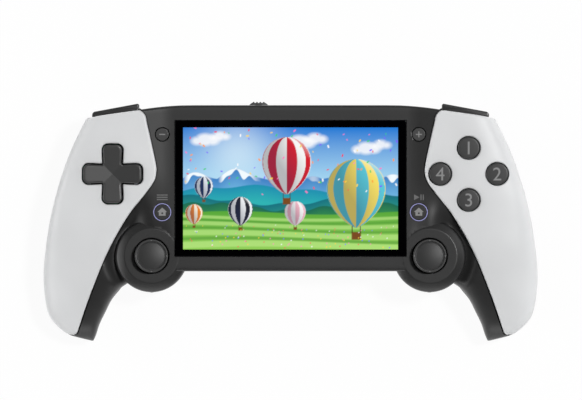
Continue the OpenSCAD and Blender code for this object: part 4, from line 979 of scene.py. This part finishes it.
# Screw wells: places on the body, then on the grips, as a share of their height and the distance
# in from their outer line.
BODY_WELLS = (LENS_HALF + 3.4, BODY_TOP - 6), (STICK[0], STICK[1] - 13.1)
GRIP_WELLS = ((0.2391, 12.5), (0.5458, 7.8))
GRIP_FROM = 62.0  # past here a well starts at the table, not at the body's back
SLEEVE_R, HEAD_R, SHANK_R = 3.2, 2.75, 2.2
# Ears beside a trigger, in the shoulder's own axes: their places and levels.
EARS, EAR_W, EAR_LEVELS = (2.4, 19.2), 1.8, (15.4, 19.4)
# Speaker slots: half size and step.
SLOT_HALF, SLOT_STEP = (0.6, 4.1), 2.6


class CONSOLE_OT_rear_shell(bpy.types.Operator):
    """Makes the dark rear shell with its two deep grips"""
    bl_idname = "console.rear_shell"
    bl_label = "Rear shell"

    def execute(self, context):
        obj = rear_block("rear_shell_skin", 0)
        for side in SIDES.values():
            join(obj, rear_lobe("lobe", side, 0, REAR_TOP))
        for side in SIDES.values():
            join(obj, rear_grip("grip", side, grip_rows(False, grip_heights(GRIP_END)), 0))
        cut(obj, rear_block("rear_hollow", WALL))
        for side in SIDES.values():
            cut(obj, rear_lobe("lobe_hollow", side, WALL, REAR_TOP + 3))
            rows = grip_rows(False, grip_heights(GRIP_END, 50, WALL), WALL, 1.0, columns=32)
            cut(obj, rear_grip("grip_hollow", side, rows, WALL))
        self.add_fittings(obj)
        cut(obj, box("table", (-FAR, -FAR, -20), (FAR, FAR, 0)))
        finished(smooth(obj), "console", "dark_shell", "rear_shell")
        return {"FINISHED"}

    def add_fittings(self, obj):
        """Screw wells, speaker slots and the ears that hold the triggers."""
        wells = [(*place, PART_Z) for place in BODY_WELLS]
        for share, back in GRIP_WELLS:
            h = share * GRIP_TALL
            wells.append((float(reach_in(OUTER_LINE, h)) - back, TIP_Y + h, float(part_level(h))))
        low, high = EAR_LEVELS
        for side in SIDES.values():
            for x, y, level in wells:
                foot = (BACK_Z if x < GRIP_FROM else 0.0) + 0.8
                join(obj, turned("sleeve", (side * x, y), [(SLEEVE_R, foot), (SLEEVE_R, level - 0.2)], 48))
            for x in EARS:
                join(obj, shoulder_box("ear", (x, -6.5, low), (x + EAR_W, -2.0, high), side))
            join(obj, shoulder_box("ear_foot", (EARS[0], -7.5, low), (EARS[1] + EAR_W, -5.5, high), side))
        for side in SIDES.values():
            for x, y, level in wells:
                foot, seat = (BACK_Z, BACK_Z) if x < GRIP_FROM else (0.0, 0.4)
                cut(obj, turned("well", (side * x, y), [(HEAD_R, foot - 1), (HEAD_R, seat),
                                (SHANK_R, seat + 0.5), (SHANK_R, level - 2.4)], 48))
            for i in range(-2, 3):
                middle = np.array([side * (LENS_HALF - 12.2) + SLOT_STEP * i, BODY_BOTTOM + 11])
                slot = rounded_rect(middle - SLOT_HALF, middle + SLOT_HALF, 0.59)
                cut(obj, prism("slot", slot, BACK_Z - 1, BACK_Z + WALL + 1))


def rear_block(name, inset):
    """The middle body's rear half with rounded rear edges."""
    low, high = BACK_Z + inset, REAR_TOP + (3 if inset else 0)
    top, bottom, edge = BODY_TOP - inset, BODY_BOTTOM + inset, 0.8 if inset else 2.2
    outline = rounded([(bottom, high + 1, 0), (bottom, low, edge), (top, low, edge),
                       (top, high + 1, 0)], 10)
    obj = prism(name, body_plan(inset), low, high)
    return combine(obj, prism(name + "_edge", outline[::-1], -FAR, FAR, 0), "INTERSECT")


def rear_lobe(name, side, inset, high):
    """Rear half of a stick's boss."""
    radius, low, edge = BOSS_R - inset, BACK_Z + inset, 0.6 if inset else 1.6
    profile = [(radius - inward, low - level) for inward, level in round_over(edge, 8)[::-1]]
    return turned(name, stick_at(side), profile + [(radius, high)], 128)


def rear_grip(name, side, rows, inset):
    """Rear half of a grip, with room for bumper and trigger at its shoulder."""
    room = shoulder_box("room", (-1 + inset, -5.5 - inset, -1), (FAR, FAR, 64), side)
    return cut(loft(name, rows, side), room)


PICTURE = 95.0, 53.9
PICTURE_POINTS = 321, 183
PICTURE_STEP, PICTURE_THICK = 0.02, 0.06
LENS_CORNER, LENS_EDGE = 0.8, 0.25


class CONSOLE_OT_screen(bpy.types.Operator):
    """Makes the black cover glass and the lit picture on it"""
    bl_idname = "console.screen"
    bl_label = "Screen"

    def execute(self, context):
        self.glass()
        self.picture()
        return {"FINISHED"}

    def glass(self):
        """Cover glass with rounded corners and edges."""
        outline, top = rounded_rect(LENS_LOW, LENS_HIGH, LENS_CORNER, 10), LENS_HIGH[2]
        rings = [(0, LENS_LOW[2]), *round_over(LENS_EDGE, 5, top), (0.6, top)]
        obj = loft("screen_glass", stacked(outline, rings))
        finished(smooth(obj), "console", "lens", "screen_lens")

    def picture(self):
        """Thin closed sheet whose points carry the picture's colours."""
        wide, tall = PICTURE
        u, v = np.meshgrid(*(np.linspace(0, 1, count) for count in PICTURE_POINTS))
        obj = grid("screen_picture", np.dstack([(u - 0.5) * wide, SCREEN_Y + (v - 0.5) * tall,
                                                np.full(u.shape, FRONT_Z + PICTURE_STEP)]))
        layer = obj.data.color_attributes.new("picture", "FLOAT_COLOR", "POINT")
        rgb = landscape(u.ravel() * wide / tall, v.ravel())
        layer.data.foreach_set("color", np.column_stack([rgb, np.ones(len(rgb))]).ravel())
        edit_all(obj)
        bpy.ops.mesh.select_all(action="DESELECT")
        bpy.ops.mesh.select_non_manifold()
        bpy.ops.mesh.extrude_region_move(TRANSFORM_OT_translate={"value": (0, 0, -PICTURE_THICK * MM)})
        bpy.ops.mesh.fill_holes(sides=0)
        finished(settle(obj), "console", "display", finish="lit_picture")


# The picture's forms. Clouds: middle and size. Hills: height, swing, waves, start and two colours.
# Bands on the meadow: strength, colour, and pairs of height and half thickness. Balloons: middle,
# radius and two colours.
CLOUDS = ((0.18, 0.9, 0.07), (0.3, 0.93, 0.05), (0.95, 0.88, 0.08), (1.08, 0.91, 0.06),
          (1.5, 0.83, 0.07), (1.62, 0.86, 0.05), (0.75, 0.72, 0.05))
PUFFS = ((0, 0, 0.7), (-0.9, -0.15, 0.45), (0.9, -0.1, 0.5))
HILLS = ((0.47, 0.05, 2.6, 0.2, "#1f8fb0", "#2fb3b4"), (0.41, 0.04, 3.4, 2.1, "#17707f", "#2f9d8a"),
         (0.35, 0.03, 4.7, 0.7, "#1d6a55", "#3f9a4b"))
BANDS = ((0.55, "#c3ee8c", ((0.26, 0.012), (0.2, 0.016), (0.12, 0.022), (0.03, 0.026))),
         (0.5, "#3f8a2f", ((0.23, 0.006), (0.16, 0.008), (0.075, 0.012))))
BALLOONS = ((0.17, 0.52, 0.075, "#24345f", "#e8eef6"), (0.09, 0.3, 0.07, "#e9862b", "#fff2dc"),
            (0.47, 0.33, 0.1, "#26262e", "#f4f6f8"), (0.92, 0.31, 0.085, "#f7f7f7", "#f2b8c6"),
            (0.85, 0.72, 0.2, "#f6f6f4", "#d3202f"), (1.42, 0.5, 0.24, "#f7e067", "#5cc7d8"))
PAPERS = ("#ef3d5a", "#ffd84a", "#ff7ac0", "#ffffff", "#7d5cff", "#3fd06e", "#ff9a3c")


def inside(distance, blur=0.007):
    """Cover of a form from the distance to its edge."""
    return np.clip(0.5 - distance / blur, 0, 1)


def put(rgb, cover, near, far=None, fade=None):
    """Lays a colour over a picture, fading to a second one."""
    shade = np.array(linear(near))
    if far:
        t = np.clip(fade, 0, 1)[:, None]
        shade = shade * (1 - t) + np.array(linear(far)) * t
    rgb[:] = rgb * (1 - cover[:, None]) + shade * cover[:, None]


def landscape(x, y):
    """Colours of a made-up landscape with balloons; y runs 0 to 1 and x to the picture's shape."""
    rgb = np.zeros((len(x), 3))
    put(rgb, np.ones(len(x)), "#1c78d4", "#bdeefb", (1 - y) / 0.6)
    put(rgb, 0.55 * np.exp(-((x - 0.45) ** 2 + (y - 0.8) ** 2) / 0.08), "#e8fbff")
    for cx, cy, size in CLOUDS:
        puffs = [np.hypot((x - cx - dx * size) / 1.5, y - cy - dy * size) - r * size
                 for dx, dy, r in PUFFS]
        put(rgb, 0.8 * inside(np.minimum.reduce(puffs), 0.03), "#ffffff")
    ridge = (0.5 + 0.1 * np.abs(np.sin(3.1 * x + 0.4)) + 0.05 * np.abs(np.sin(7.3 * x + 1.1))
             + 0.02 * np.sin(19 * x))
    put(rgb, inside(y - ridge), "#3f7fc4", "#7cc4ea", (ridge - y) / 0.25)
    snow = ridge - 0.035 - 0.02 * np.sin(41 * x) - 0.015 * np.sin(67 * x)
    put(rgb, inside(y - ridge) * inside(snow - y) * inside(0.6 - ridge, 0.03), "#f2fbff")
    for base, swing, speed, shift, high, low in HILLS:
        hill = base + swing * np.sin(speed * x + shift) + 0.012 * np.sin(5 * speed * x)
        put(rgb, inside(y - hill), high, low, (hill - y) / 0.14)
    put(rgb, inside(y - 0.3 - 0.015 * np.sin(4 * x)), "#58a83a", "#93d05a", (0.31 - y) / 0.31)
    for strength, shade, places in BANDS:
        for low, thick in places:
            band = np.abs(y - low - 0.02 * np.sin(2.2 * x + 9 * low)) - thick
            put(rgb, strength * inside(band, 0.012), shade)
    for balloon in BALLOONS:
        put_balloon(rgb, x, y, *balloon)
    put_paper(rgb, x, y)
    return rgb


def put_balloon(rgb, x, y, cx, cy, r, one, two):
    """Striped balloon with a shaded and a lit side, its basket and two ropes."""
    t = (y - cy) / r
    wide = np.where(t > 0, np.sqrt(np.maximum(0, 1 - t ** 2)),
                    np.maximum(0, 1 - (t / 1.35) ** 2) ** 0.8)
    side = (x - cx) / (r * np.maximum(wide, 1e-3))
    cover = inside((np.abs(side) - 1) * r * wide) * (wide > 0.02)
    stripe = np.sin(7 * np.arcsin(np.clip(side, -1, 1)))
    put(rgb, cover, one)
    put(rgb, cover * np.clip(0.5 + stripe * 6, 0, 1), two)
    put(rgb, cover * np.clip(0.35 - 0.4 * side - 0.25 * t, 0, 0.5), "#1b2a4a")
    put(rgb, cover * np.clip(0.55 * side + 0.5 * t - 0.55, 0, 0.6), "#ffffff")
    basket = np.maximum(np.abs(x - cx) - 0.16 * r, np.abs(y - cy + 1.62 * r) - 0.13 * r)
    put(rgb, inside(basket), "#7a4a22")
    for s in (-1, 1):
        rope = np.abs(x - cx - s * 0.14 * r) - 0.015 * r
        put(rgb, inside(np.maximum(rope, np.abs(y - cy + 1.4 * r) - 0.12 * r), 0.004), "#4a3320")


def put_paper(rgb, x, y):
    """Scraps of coloured paper in the air and flowers on the meadow."""
    draw = np.random.default_rng(7)
    for i in range(90):
        dx, dy = x - draw.uniform(0, 1.76), y - draw.uniform(0.45, 1)
        turn, size = draw.uniform(0, 3), draw.uniform(0.006, 0.012)
        c, s = math.cos(turn), math.sin(turn)
        near = (np.abs(dx) < 0.03) & (np.abs(dy) < 0.03)
        scrap = np.maximum(np.abs(dx * c + dy * s) - size, np.abs(dy * c - dx * s) - 0.5 * size)
        put(rgb, near * inside(scrap, 0.005), PAPERS[i % 7])
    for i in range(110):
        cx, cy = draw.uniform(0, 1.76), draw.uniform(0.01, 0.2)
        flower = np.hypot(x - cx, y - cy) - 0.003 - 0.012 * (0.2 - cy)
        put(rgb, inside(flower, 0.005), PAPERS[(i * 3) % 5])


def cap(name, centre, radius, foot, top, edge, crown=0.0):
    """Round button cap with a rounded edge and a slightly crowned top."""
    profile = [(radius, foot)] + [(radius - inward, level) for inward, level in round_over(edge, 7, top)]
    profile += [((radius - edge) * s, top + crown * (1 - s * s)) for s in (0.8, 0.6, 0.4, 0.2, 0.05)]
    return turned(name, centre, profile)


INK_DEPTH = 0.25
CAP_FOOT = 1.5  # a visible cap starts this far over its node's foot


def sign(name, centre, level, body, outlines, slot, ink):
    """Flat printed or inlaid sign made of outlines in plan."""
    step = bpy.context.scene.console_sizes.print_step / MM
    made = [prism(name, np.asarray(outline, float) + centre[:2], level - INK_DEPTH, level + step)
            for outline in outlines]
    focus(made[0])
    for other in made[1:]:
        other.select_set(True)
    if len(made) > 1:
        bpy.ops.object.join()
    return finished(smooth(made[0], 30), body, slot, finish=ink)


BUTTON_R, BUTTON_CROWN = 4.8, 0.06
DIGIT_SHARE = 0.7  # height of a numeral as a share of its type size
DIGIT_HALF, DIGIT_SINK = 0.06, 0.04


class CONSOLE_OT_face_buttons(bpy.types.Operator):
    """Makes the four round buttons and their numerals"""
    bl_idname = "console.face_buttons"
    bl_label = "Face buttons"

    def execute(self, context):
        sizes = context.scene.console_sizes
        for numeral, (name, step) in enumerate(FACE_STEPS.items(), 1):
            node = f"{name}_button"
            low, high = node_box(node)
            centre = CLUSTER[:2] + step
            obj = cap(f"{node}_cap", centre, BUTTON_R, low[2] + CAP_FOOT, high[2] - BUTTON_CROWN,
                      sizes.cap_edge / MM, BUTTON_CROWN)
            finished(obj, node, "button_plastic", node)
            fresh()
            bpy.ops.object.text_add()
            text = bpy.context.object
            text.data.body = str(numeral)
            text.data.size = sizes.sign_height / DIGIT_SHARE
            text.data.align_x, text.data.align_y = "CENTER", "CENTER"
            text.data.extrude = DIGIT_HALF * MM
            focus(text)
            bpy.ops.object.convert(target="MESH")
            mark = named(f"{node}_numeral")
            points = np.array([v.co for v in mark.data.vertices])
            middle = (points.max(axis=0) + points.min(axis=0)) / 2
            mark.location = Vector(centre).to_3d() * MM - Vector(middle)
            mark.location.z = (high[2] - DIGIT_SINK) * MM
            finished(settle(mark), node, "button_plastic", finish="print_ink")
        return {"FINISHED"}


PAD_EDGE, PAD_DISH = 0.8, 0.9


class CONSOLE_OT_pad(bpy.types.Operator):
    """Makes the direction pad, dished towards its middle"""
    bl_idname = "console.pad"
    bl_label = "Direction pad"

    def execute(self, context):
        low, high = node_box("pad_cap")
        centre, top = CLUSTER[:2] * (-1, 1), high[2]
        rings = [(0, low[2] + 2.2), *round_over(PAD_EDGE, 7, top), (PAD_EDGE + 0.25, top)]
        rows = stacked(pad_outline(-0.15), rings)
        rows[1:, :, 2] -= self.dish(rows[1:])
        obj = loft("pad_cap_cross", rows + (*centre, 0))
        self.dish_top(obj, centre, top)
        finished(obj, "pad_cap", "button_plastic", "pad_cap")
        return {"FINISHED"}

    def dish(self, points):
        """How far places, given from the pad's middle, lie under the arms' ends."""
        return PAD_DISH * (1 - np.abs(points[..., :2]).max(axis=-1) / PAD_REACH)

    def dish_top(self, obj, centre, top):
        """Cuts the flat top along its diagonals and sinks each facet to the middle."""
        for x, y in ((1, 1), (1, -1), (1, 0), (0, 1)):
            edit_all(obj)
            bpy.ops.mesh.bisect(plane_co=(centre[0] * MM, centre[1] * MM, 0), plane_no=(x, y, 0))
        fresh()
        upper = top - 1.2
        for v in obj.data.vertices:
            local = np.array(v.co) / MM - (*centre, 0)
            if local[2] > upper and np.abs(local[:2]).max() < 4.2:
                v.co.z = (top - self.dish(local)) * MM
        edit_all(obj)
        bpy.ops.mesh.quads_convert_to_tris()
        bpy.ops.mesh.select_all(action="DESELECT")
        smooth(obj, 30)
        points = np.array([v.co for v in obj.data.vertices]) / MM - (*centre, 0)
        off = np.abs(np.abs(points[:, 0]) - np.abs(points[:, 1]))
        crease = (off < 0.02) & (points[:, 2] > upper)
        for line in obj.data.edges:
            line.select = bool(crease[line.vertices[0]] and crease[line.vertices[1]])
        bpy.ops.object.mode_set(mode="EDIT")
        bpy.ops.mesh.mark_sharp()
        fresh()


MENU_R, HOME_R, HOME_PROUD = 2.85, 3.45, 0.25
RING_OUT, RING_IN = 3.92, 3.62
BAR, STROKE = 1.3, 0.22
DOOR, DOOR_R, DOOR_STEP = (0, -0.45), 0.42, 0.02
HOUSE = [(-1.5, -1.55), (1.5, -1.55), (1.5, 0.1), (2.15, 0.1), (0, 2.05), (-2.15, 0.1), (-1.5, 0.1)]
# Three bars on the left, and a play-and-pause sign on the right.
SHELL_SIGN_UP = 6.6
SHELL_SIGNS = {"left": [rect((-2.4, y - 0.24), (2.4, y + 0.24)) for y in (-1.0, 0, 1.0)],
               "right": [[(-2.1, -1.25), (0.3, 0.0), (-2.1, 1.25)], rect((0.7, -1.25), (1.2, 1.25)),
                         rect((1.7, -1.25), (2.2, 1.25))]}


class CONSOLE_OT_menu_buttons(bpy.types.Operator):
    """Makes the small round buttons beside the screen and their signs"""
    bl_idname = "console.menu_buttons"
    bl_label = "Menu buttons"

    def execute(self, context):
        marks = {"minus": [rect((-BAR, -STROKE), (BAR, STROKE))]}
        marks["plus"] = marks["minus"] + [rect((-STROKE, STROKE), (STROKE, BAR)),
                                          rect((-STROKE, -BAR), (STROKE, -STROKE))]
        for name, side in (("plus", 1), ("minus", -1)):
            node = f"{name}_button"
            low, high = node_box(node)
            centre, top = MENU[:2] * (side, 1), high[2]
            obj = cap(f"{node}_cap", centre, MENU_R, low[2] + CAP_FOOT, top, 0.3)
            finished(obj, node, "button_plastic", node)
            sign(f"{node}_sign", centre, top, node, marks[name], "button_plastic", "print_ink")
        for name, side in SIDES.items():
            node = f"{name}_home_button"
            low, high = node_box(node)
            centre = HOME[:2] * (side, 1)
            top = max(high[2], float(face_level(*HOME[:2])) + HOME_PROUD)
            obj = cap(f"{name}_home_cap", centre, HOME_R, low[2] + CAP_FOOT, top, 0.25)
            finished(obj, node, "button_plastic", node, finish="dark_shell")
            sign(f"{name}_home_sign", centre, top, node, [HOUSE], "button_plastic", "print_ink")
            sign(f"{name}_home_door", centre, top + DOOR_STEP, node, [circle(DOOR, DOOR_R, 24)],
                 "button_plastic", "dark_shell")
            self.guide_ring(name, centre, top)
            self.shell_print(name, centre)
        return {"FINISHED"}

    def guide_ring(self, name, centre, top):
        """Violet ring round a home button."""
        foot = node_box(f"{name}_home_ring")[0][2]
        obj = turned(f"{name}_home_light", centre, [
            (RING_OUT, foot + 1), (RING_OUT, top - 0.1), (RING_OUT - 0.06, top), (RING_IN + 0.06, top),
            (RING_IN, top - 0.1), (RING_IN, foot + 1.02), (0.5, foot + 1.02)])
        cut(obj, turned("bore", centre, [(RING_IN - 0.02, foot), (RING_IN - 0.02, top + 1)]))
        finished(smooth(obj), "console", "light_ring", f"{name}_home_ring")

    def shell_print(self, name, centre):
        """Small plain sign above a home button, laid on the curved face."""
        place = centre + (0, SHELL_SIGN_UP)
        level = float(face_level(*place))
        obj = sign(f"{name}_shell_sign", place, level, "console", SHELL_SIGNS[name], "dark_shell",
                   "faint_ink")
        for v in obj.data.vertices:
            v.co.z += (float(face_level(v.co.x / MM, v.co.y / MM)) - level) * MM


# A stick's cap from its stem to its dome: radius, and depth under the top. Then the dome and a tick.
STICK_RIM = ((3.1, 2.3), (6.6, 2.0), (7.2, 1.85), (7.35, 1.6), (7.35, 1.15), (7.3, 1.0), (7.18, 0.9),
             (7.0, 0.87), (6.55, 0.9), (6.42, 0.94), (6.34, 1.1), (6.24, 1.1), (6.18, 0.9), (6.08, 0.8),
             (5.9, 0.7))
DOME_R, DOME_SHARES = 5.8, (1, 0.95, 0.88, 0.8, 0.7, 0.6, 0.48, 0.34, 0.2, 0.06)
TICK, TICK_DEPTH = rect((6.6, -0.3), (7.0, 0.3)), 0.87


class CONSOLE_OT_sticks(bpy.types.Operator):
    """Makes the two stick caps with their rims and ticks"""
    bl_idname = "console.sticks"
    bl_label = "Sticks"

    def execute(self, context):
        ticks = [[(c * x - s * y, s * x + c * y) for x, y in TICK] for c, s in QUARTERS]
        for name, side in SIDES.items():
            node = f"{name}_stick_cap"
            low, high = node_box(node)
            centre, top = stick_at(side), high[2]
            profile = [(STICK_RIM[0][0], low[2] + 0.3)] + [(r, top - depth) for r, depth in STICK_RIM]
            profile += [(DOME_R * s, top - 0.02 - 0.62 * s * s) for s in DOME_SHARES]
            obj = smooth(turned(f"{name}_stick_top", centre, profile, 128), 30)
            finished(obj, node, "stick_rubber", node)
            sign(f"{name}_stick_ticks", centre, top - TICK_DEPTH, node, ticks, "stick_rubber", "faint_ink")
        return {"FINISHED"}


# A bumper in the shoulder's own axes: corners with their radii, its edge and its pin.
BUMPER = ((1.464, -6.2, 0.8), (15.5, -6.2, 0.8), (15.5, -1.0, 0), (21.55, -1.0, 0.8), (21.55, 1.68, 1.7),
          (0.05, 1.68, 0.8))
BUMPER_EDGE, BUMPER_PIN, BUMPER_BORE = 0.7, (3.2, -4.2), 1.05


class CONSOLE_OT_shoulders(bpy.types.Operator):
    """Rounds the bumpers, the triggers and the power slider"""
    bl_idname = "console.shoulders"
    bl_label = "Bumpers, triggers and slider"

    def execute(self, context):
        for name, side in SIDES.items():
            self.bumper(f"{name}_bumper", side)
        for node, width, slot in (("left_trigger", 0.7, "bumper_plastic"),
                                  ("right_trigger", 0.7, "bumper_plastic"),
                                  ("power_slider", 0.15, "button_plastic")):
            finished(softened(node, width), node, slot, node)
        return {"FINISHED"}

    def bumper(self, node, side):
        """Bumper with rounded ends and edges, bored for its pin."""
        low, high = node_box(node)
        rings = [(inward, low[2] - level) for inward, level in round_over(BUMPER_EDGE, 7)[::-1]]
        x, y, z = stacked(rounded(BUMPER, 10), rings + round_over(BUMPER_EDGE, 7, high[2])).T
        obj = loft(f"{node}_bar", np.array([*shoulder_point(x, y), z]).T, side)
        x, y = shoulder_point(*BUMPER_PIN)
        cut(obj, turned("bore", (side * x, y), [(BUMPER_BORE, low[2] - 1), (BUMPER_BORE, high[2] + 1)], 48))
        finished(smooth(obj), node, "bumper_plastic", node)


class CONSOLE_OT_inside(bpy.types.Operator):
    """Gives every frame node that still shows its finish"""
    bl_idname = "console.inside"
    bl_label = "Inner parts"

    def execute(self, context):
        slots = {s["node"]: s["material_slot"] for s in frame["record"]["subparts"]}
        for node, obj in frame["nodes"].items():
            obj.data.materials.clear()
            obj.data.materials.append(finishes()[slots[node]])
        return {"FINISHED"}


WHITE = (1, 1, 1, 1)
# Brightness of the surroundings by the height looked at, and their brighter panels: the way to
# each and its strength, over an even level.
SKY = ((0.0, 1.0), (0.2, 0.88), (0.45, 0.5), (0.64, 0.45), (0.8, 0.4), (0.9, 0.1), (0.96, 0.02),
       (1.0, 0.01))
PANELS = (((0.87, 0.5, 0), 2.2), ((-1, 0, 0), 4.2), ((0, -1, 0), 2.2))
PANEL_FADE = 0.72, 0.98  # cosines of the angles at which a panel ends and is at its full strength
SKY_LEVEL = 0.4
LAMP_OFF, LAMP_TURN, LAMP_WIDE = map(math.radians, (25, 25, 7.6))
LAMP_STRENGTH = 2.35
FLOOR_SIZE, FLOOR_DROP = 6000.0, 0.2
FLOOR_WHITE = 0.95  # how much of the floor's own shade the camera doesn't see
# The camera looks straight down from far away: its middle, the width it sees at the face, and how
# far it sees.
CAMERA_X, CAMERA_Y, SEEN_WIDE, FARTHEST = 0.2, 9.5, 257.2, 50000.0
LENS, SENSOR = 800.0, 36.0


class CONSOLE_OT_stage(bpy.types.Operator):
    """Sets the floor, the light and the camera"""
    bl_idname = "console.stage"
    bl_label = "Stage"

    def execute(self, context):
        scene = context.scene
        scene.view_settings.view_transform = "Standard"
        self.floor()
        self.surroundings(scene)
        self.lamp()
        fresh()
        height = FRONT_Z + SEEN_WIDE * LENS / SENSOR
        bpy.ops.object.camera_add(location=(CAMERA_X * MM, CAMERA_Y * MM, height * MM), rotation=(0, 0, 0))
        scene.camera = bpy.context.object
        scene.camera.data.lens = LENS
        scene.camera.data.sensor_width = SENSOR
        scene.camera.data.clip_end = FARTHEST * MM
        return {"FINISHED"}

    def floor(self):
        """White paper table; the camera sees it nearly white, with a trace of the shadow."""
        fresh()
        bpy.ops.mesh.primitive_plane_add(size=FLOOR_SIZE * MM, location=(0, 0, -FLOOR_DROP * MM))
        obj = settle(named("table"))
        mat, tree = blank("white_paper")
        tone = spread(tree, noise(tree, 1.5, 3.0), to_min=0.87, to_max=0.89)
        matt = add(tree, "ShaderNodeBsdfDiffuse", {}, {"Color": tone})
        white = add(tree, "ShaderNodeEmission", {"Color": WHITE, "Strength": 1.0})
        rays = add(tree, "ShaderNodeLightPath").outputs
        seen = rays["Is Camera Ray"]
        for ray in ("Is Glossy Ray", "Is Transmission Ray"):
            seen = add(tree, "ShaderNodeMath", {"operation": "MAXIMUM"}, {0: seen, 1: rays[ray]}).outputs[0]
        share = add(tree, "ShaderNodeMath", {"operation": "MULTIPLY", 1: FLOOR_WHITE}, {0: seen})
        obj.data.materials.append(shown(mat, add(tree, "ShaderNodeMixShader", {}, {
            0: share.outputs[0], 1: matt.outputs[0], 2: white.outputs[0]})))

    def surroundings(self, scene):
        """Bright low surroundings under a dark ceiling, as in a product tent."""
        world = scene.world = bpy.data.worlds.new("tent")
        world.use_nodes = True
        tree = world.node_tree
        tree.nodes.clear()
        way = add(tree, "ShaderNodeTexCoord").outputs["Generated"]
        up = add(tree, "ShaderNodeSeparateXYZ", {}, {"Vector": way})
        ramp = add(tree, "ShaderNodeValToRGB", {}, {"Fac": up.outputs["Z"]})
        stops = ramp.color_ramp.elements
        while len(stops) < len(SKY):
            stops.new(0.5)
        for stop, (at, level) in zip(stops, SKY):
            stop.position = at
            stop.color = (level, level, level, 1)
        total = None
        for axis, strength in PANELS:
            near = add(tree, "ShaderNodeVectorMath", {"operation": "DOT_PRODUCT", 1: axis}, {0: way})
            panel = add(tree, "ShaderNodeMapRange", {
                "interpolation_type": "SMOOTHSTEP", "From Min": PANEL_FADE[0],
                "From Max": PANEL_FADE[1], "To Min": 0.0, "To Max": strength},
                {"Value": near.outputs["Value"]})
            links = {0: panel.outputs["Result"]}
            if total is not None:
                links[1] = total
            total = add(tree, "ShaderNodeMath", {"operation": "ADD", 1: SKY_LEVEL}, links).outputs[0]
        soft = add(tree, "ShaderNodeBackground", {}, {"Color": ramp.outputs["Color"], "Strength": total})
        white = add(tree, "ShaderNodeBackground", {"Color": WHITE, "Strength": 1.0})
        rays = add(tree, "ShaderNodeLightPath").outputs
        mixed = add(tree, "ShaderNodeMixShader", {}, {
            0: rays["Is Camera Ray"], 1: soft.outputs[0], 2: white.outputs[0]})
        add(tree, "ShaderNodeOutputWorld", {}, {"Surface": mixed.outputs[0]})

    def lamp(self):
        """A soft lamp high on the right, so that faces turned a little to it shine."""
        out = math.sin(LAMP_OFF)
        place = Vector((out * math.cos(LAMP_TURN), out * math.sin(LAMP_TURN), math.cos(LAMP_OFF)))
        fresh()
        bpy.ops.object.light_add(type="SUN", location=place)
        lamp = bpy.context.object
        lamp.name = "key_panel"
        lamp.data.energy = LAMP_STRENGTH
        lamp.data.angle = LAMP_WIDE
        lamp.rotation_euler = place.to_track_quat("Z", "Y").to_euler()


PIECES = (CONSOLE_OT_inside, CONSOLE_OT_rear_shell, CONSOLE_OT_front_shell, CONSOLE_OT_wings,
          CONSOLE_OT_screen, CONSOLE_OT_face_buttons, CONSOLE_OT_pad, CONSOLE_OT_menu_buttons,
          CONSOLE_OT_sticks, CONSOLE_OT_shoulders, CONSOLE_OT_stage)


class CONSOLE_PT_pieces(bpy.types.Panel):
    """Lists the pieces and their sizes and colours"""
    bl_idname = "CONSOLE_PT_pieces"
    bl_label = "Handheld console"
    bl_space_type = "VIEW_3D"
    bl_region_type = "UI"
    bl_category = "Console"

    def draw(self, context):
        for piece in PIECES:
            self.layout.operator(piece.bl_idname)
        for group in (context.scene.console_sizes, context.scene.console_colours):
            for key in group.__annotations__:
                self.layout.prop(group, key)


CLASSES = (ConsoleSizes, ConsoleColours, *PIECES, CONSOLE_PT_pieces)


def register():
    """Adds the classes and the two groups of settings."""
    for kind in CLASSES:
        bpy.utils.register_class(kind)
    bpy.types.Scene.console_sizes = bpy.props.PointerProperty(type=ConsoleSizes)
    bpy.types.Scene.console_colours = bpy.props.PointerProperty(type=ConsoleColours)


def unregister():
    """Takes away what register adds."""
    del bpy.types.Scene.console_colours
    del bpy.types.Scene.console_sizes
    for kind in reversed(CLASSES):
        bpy.utils.unregister_class(kind)


def main():
    """Registers the classes and makes every piece."""
    register()
    for piece in PIECES:
        group, name = piece.bl_idname.split(".")
        getattr(getattr(bpy.ops, group), name)()


if __name__ == "__main__":
    main()
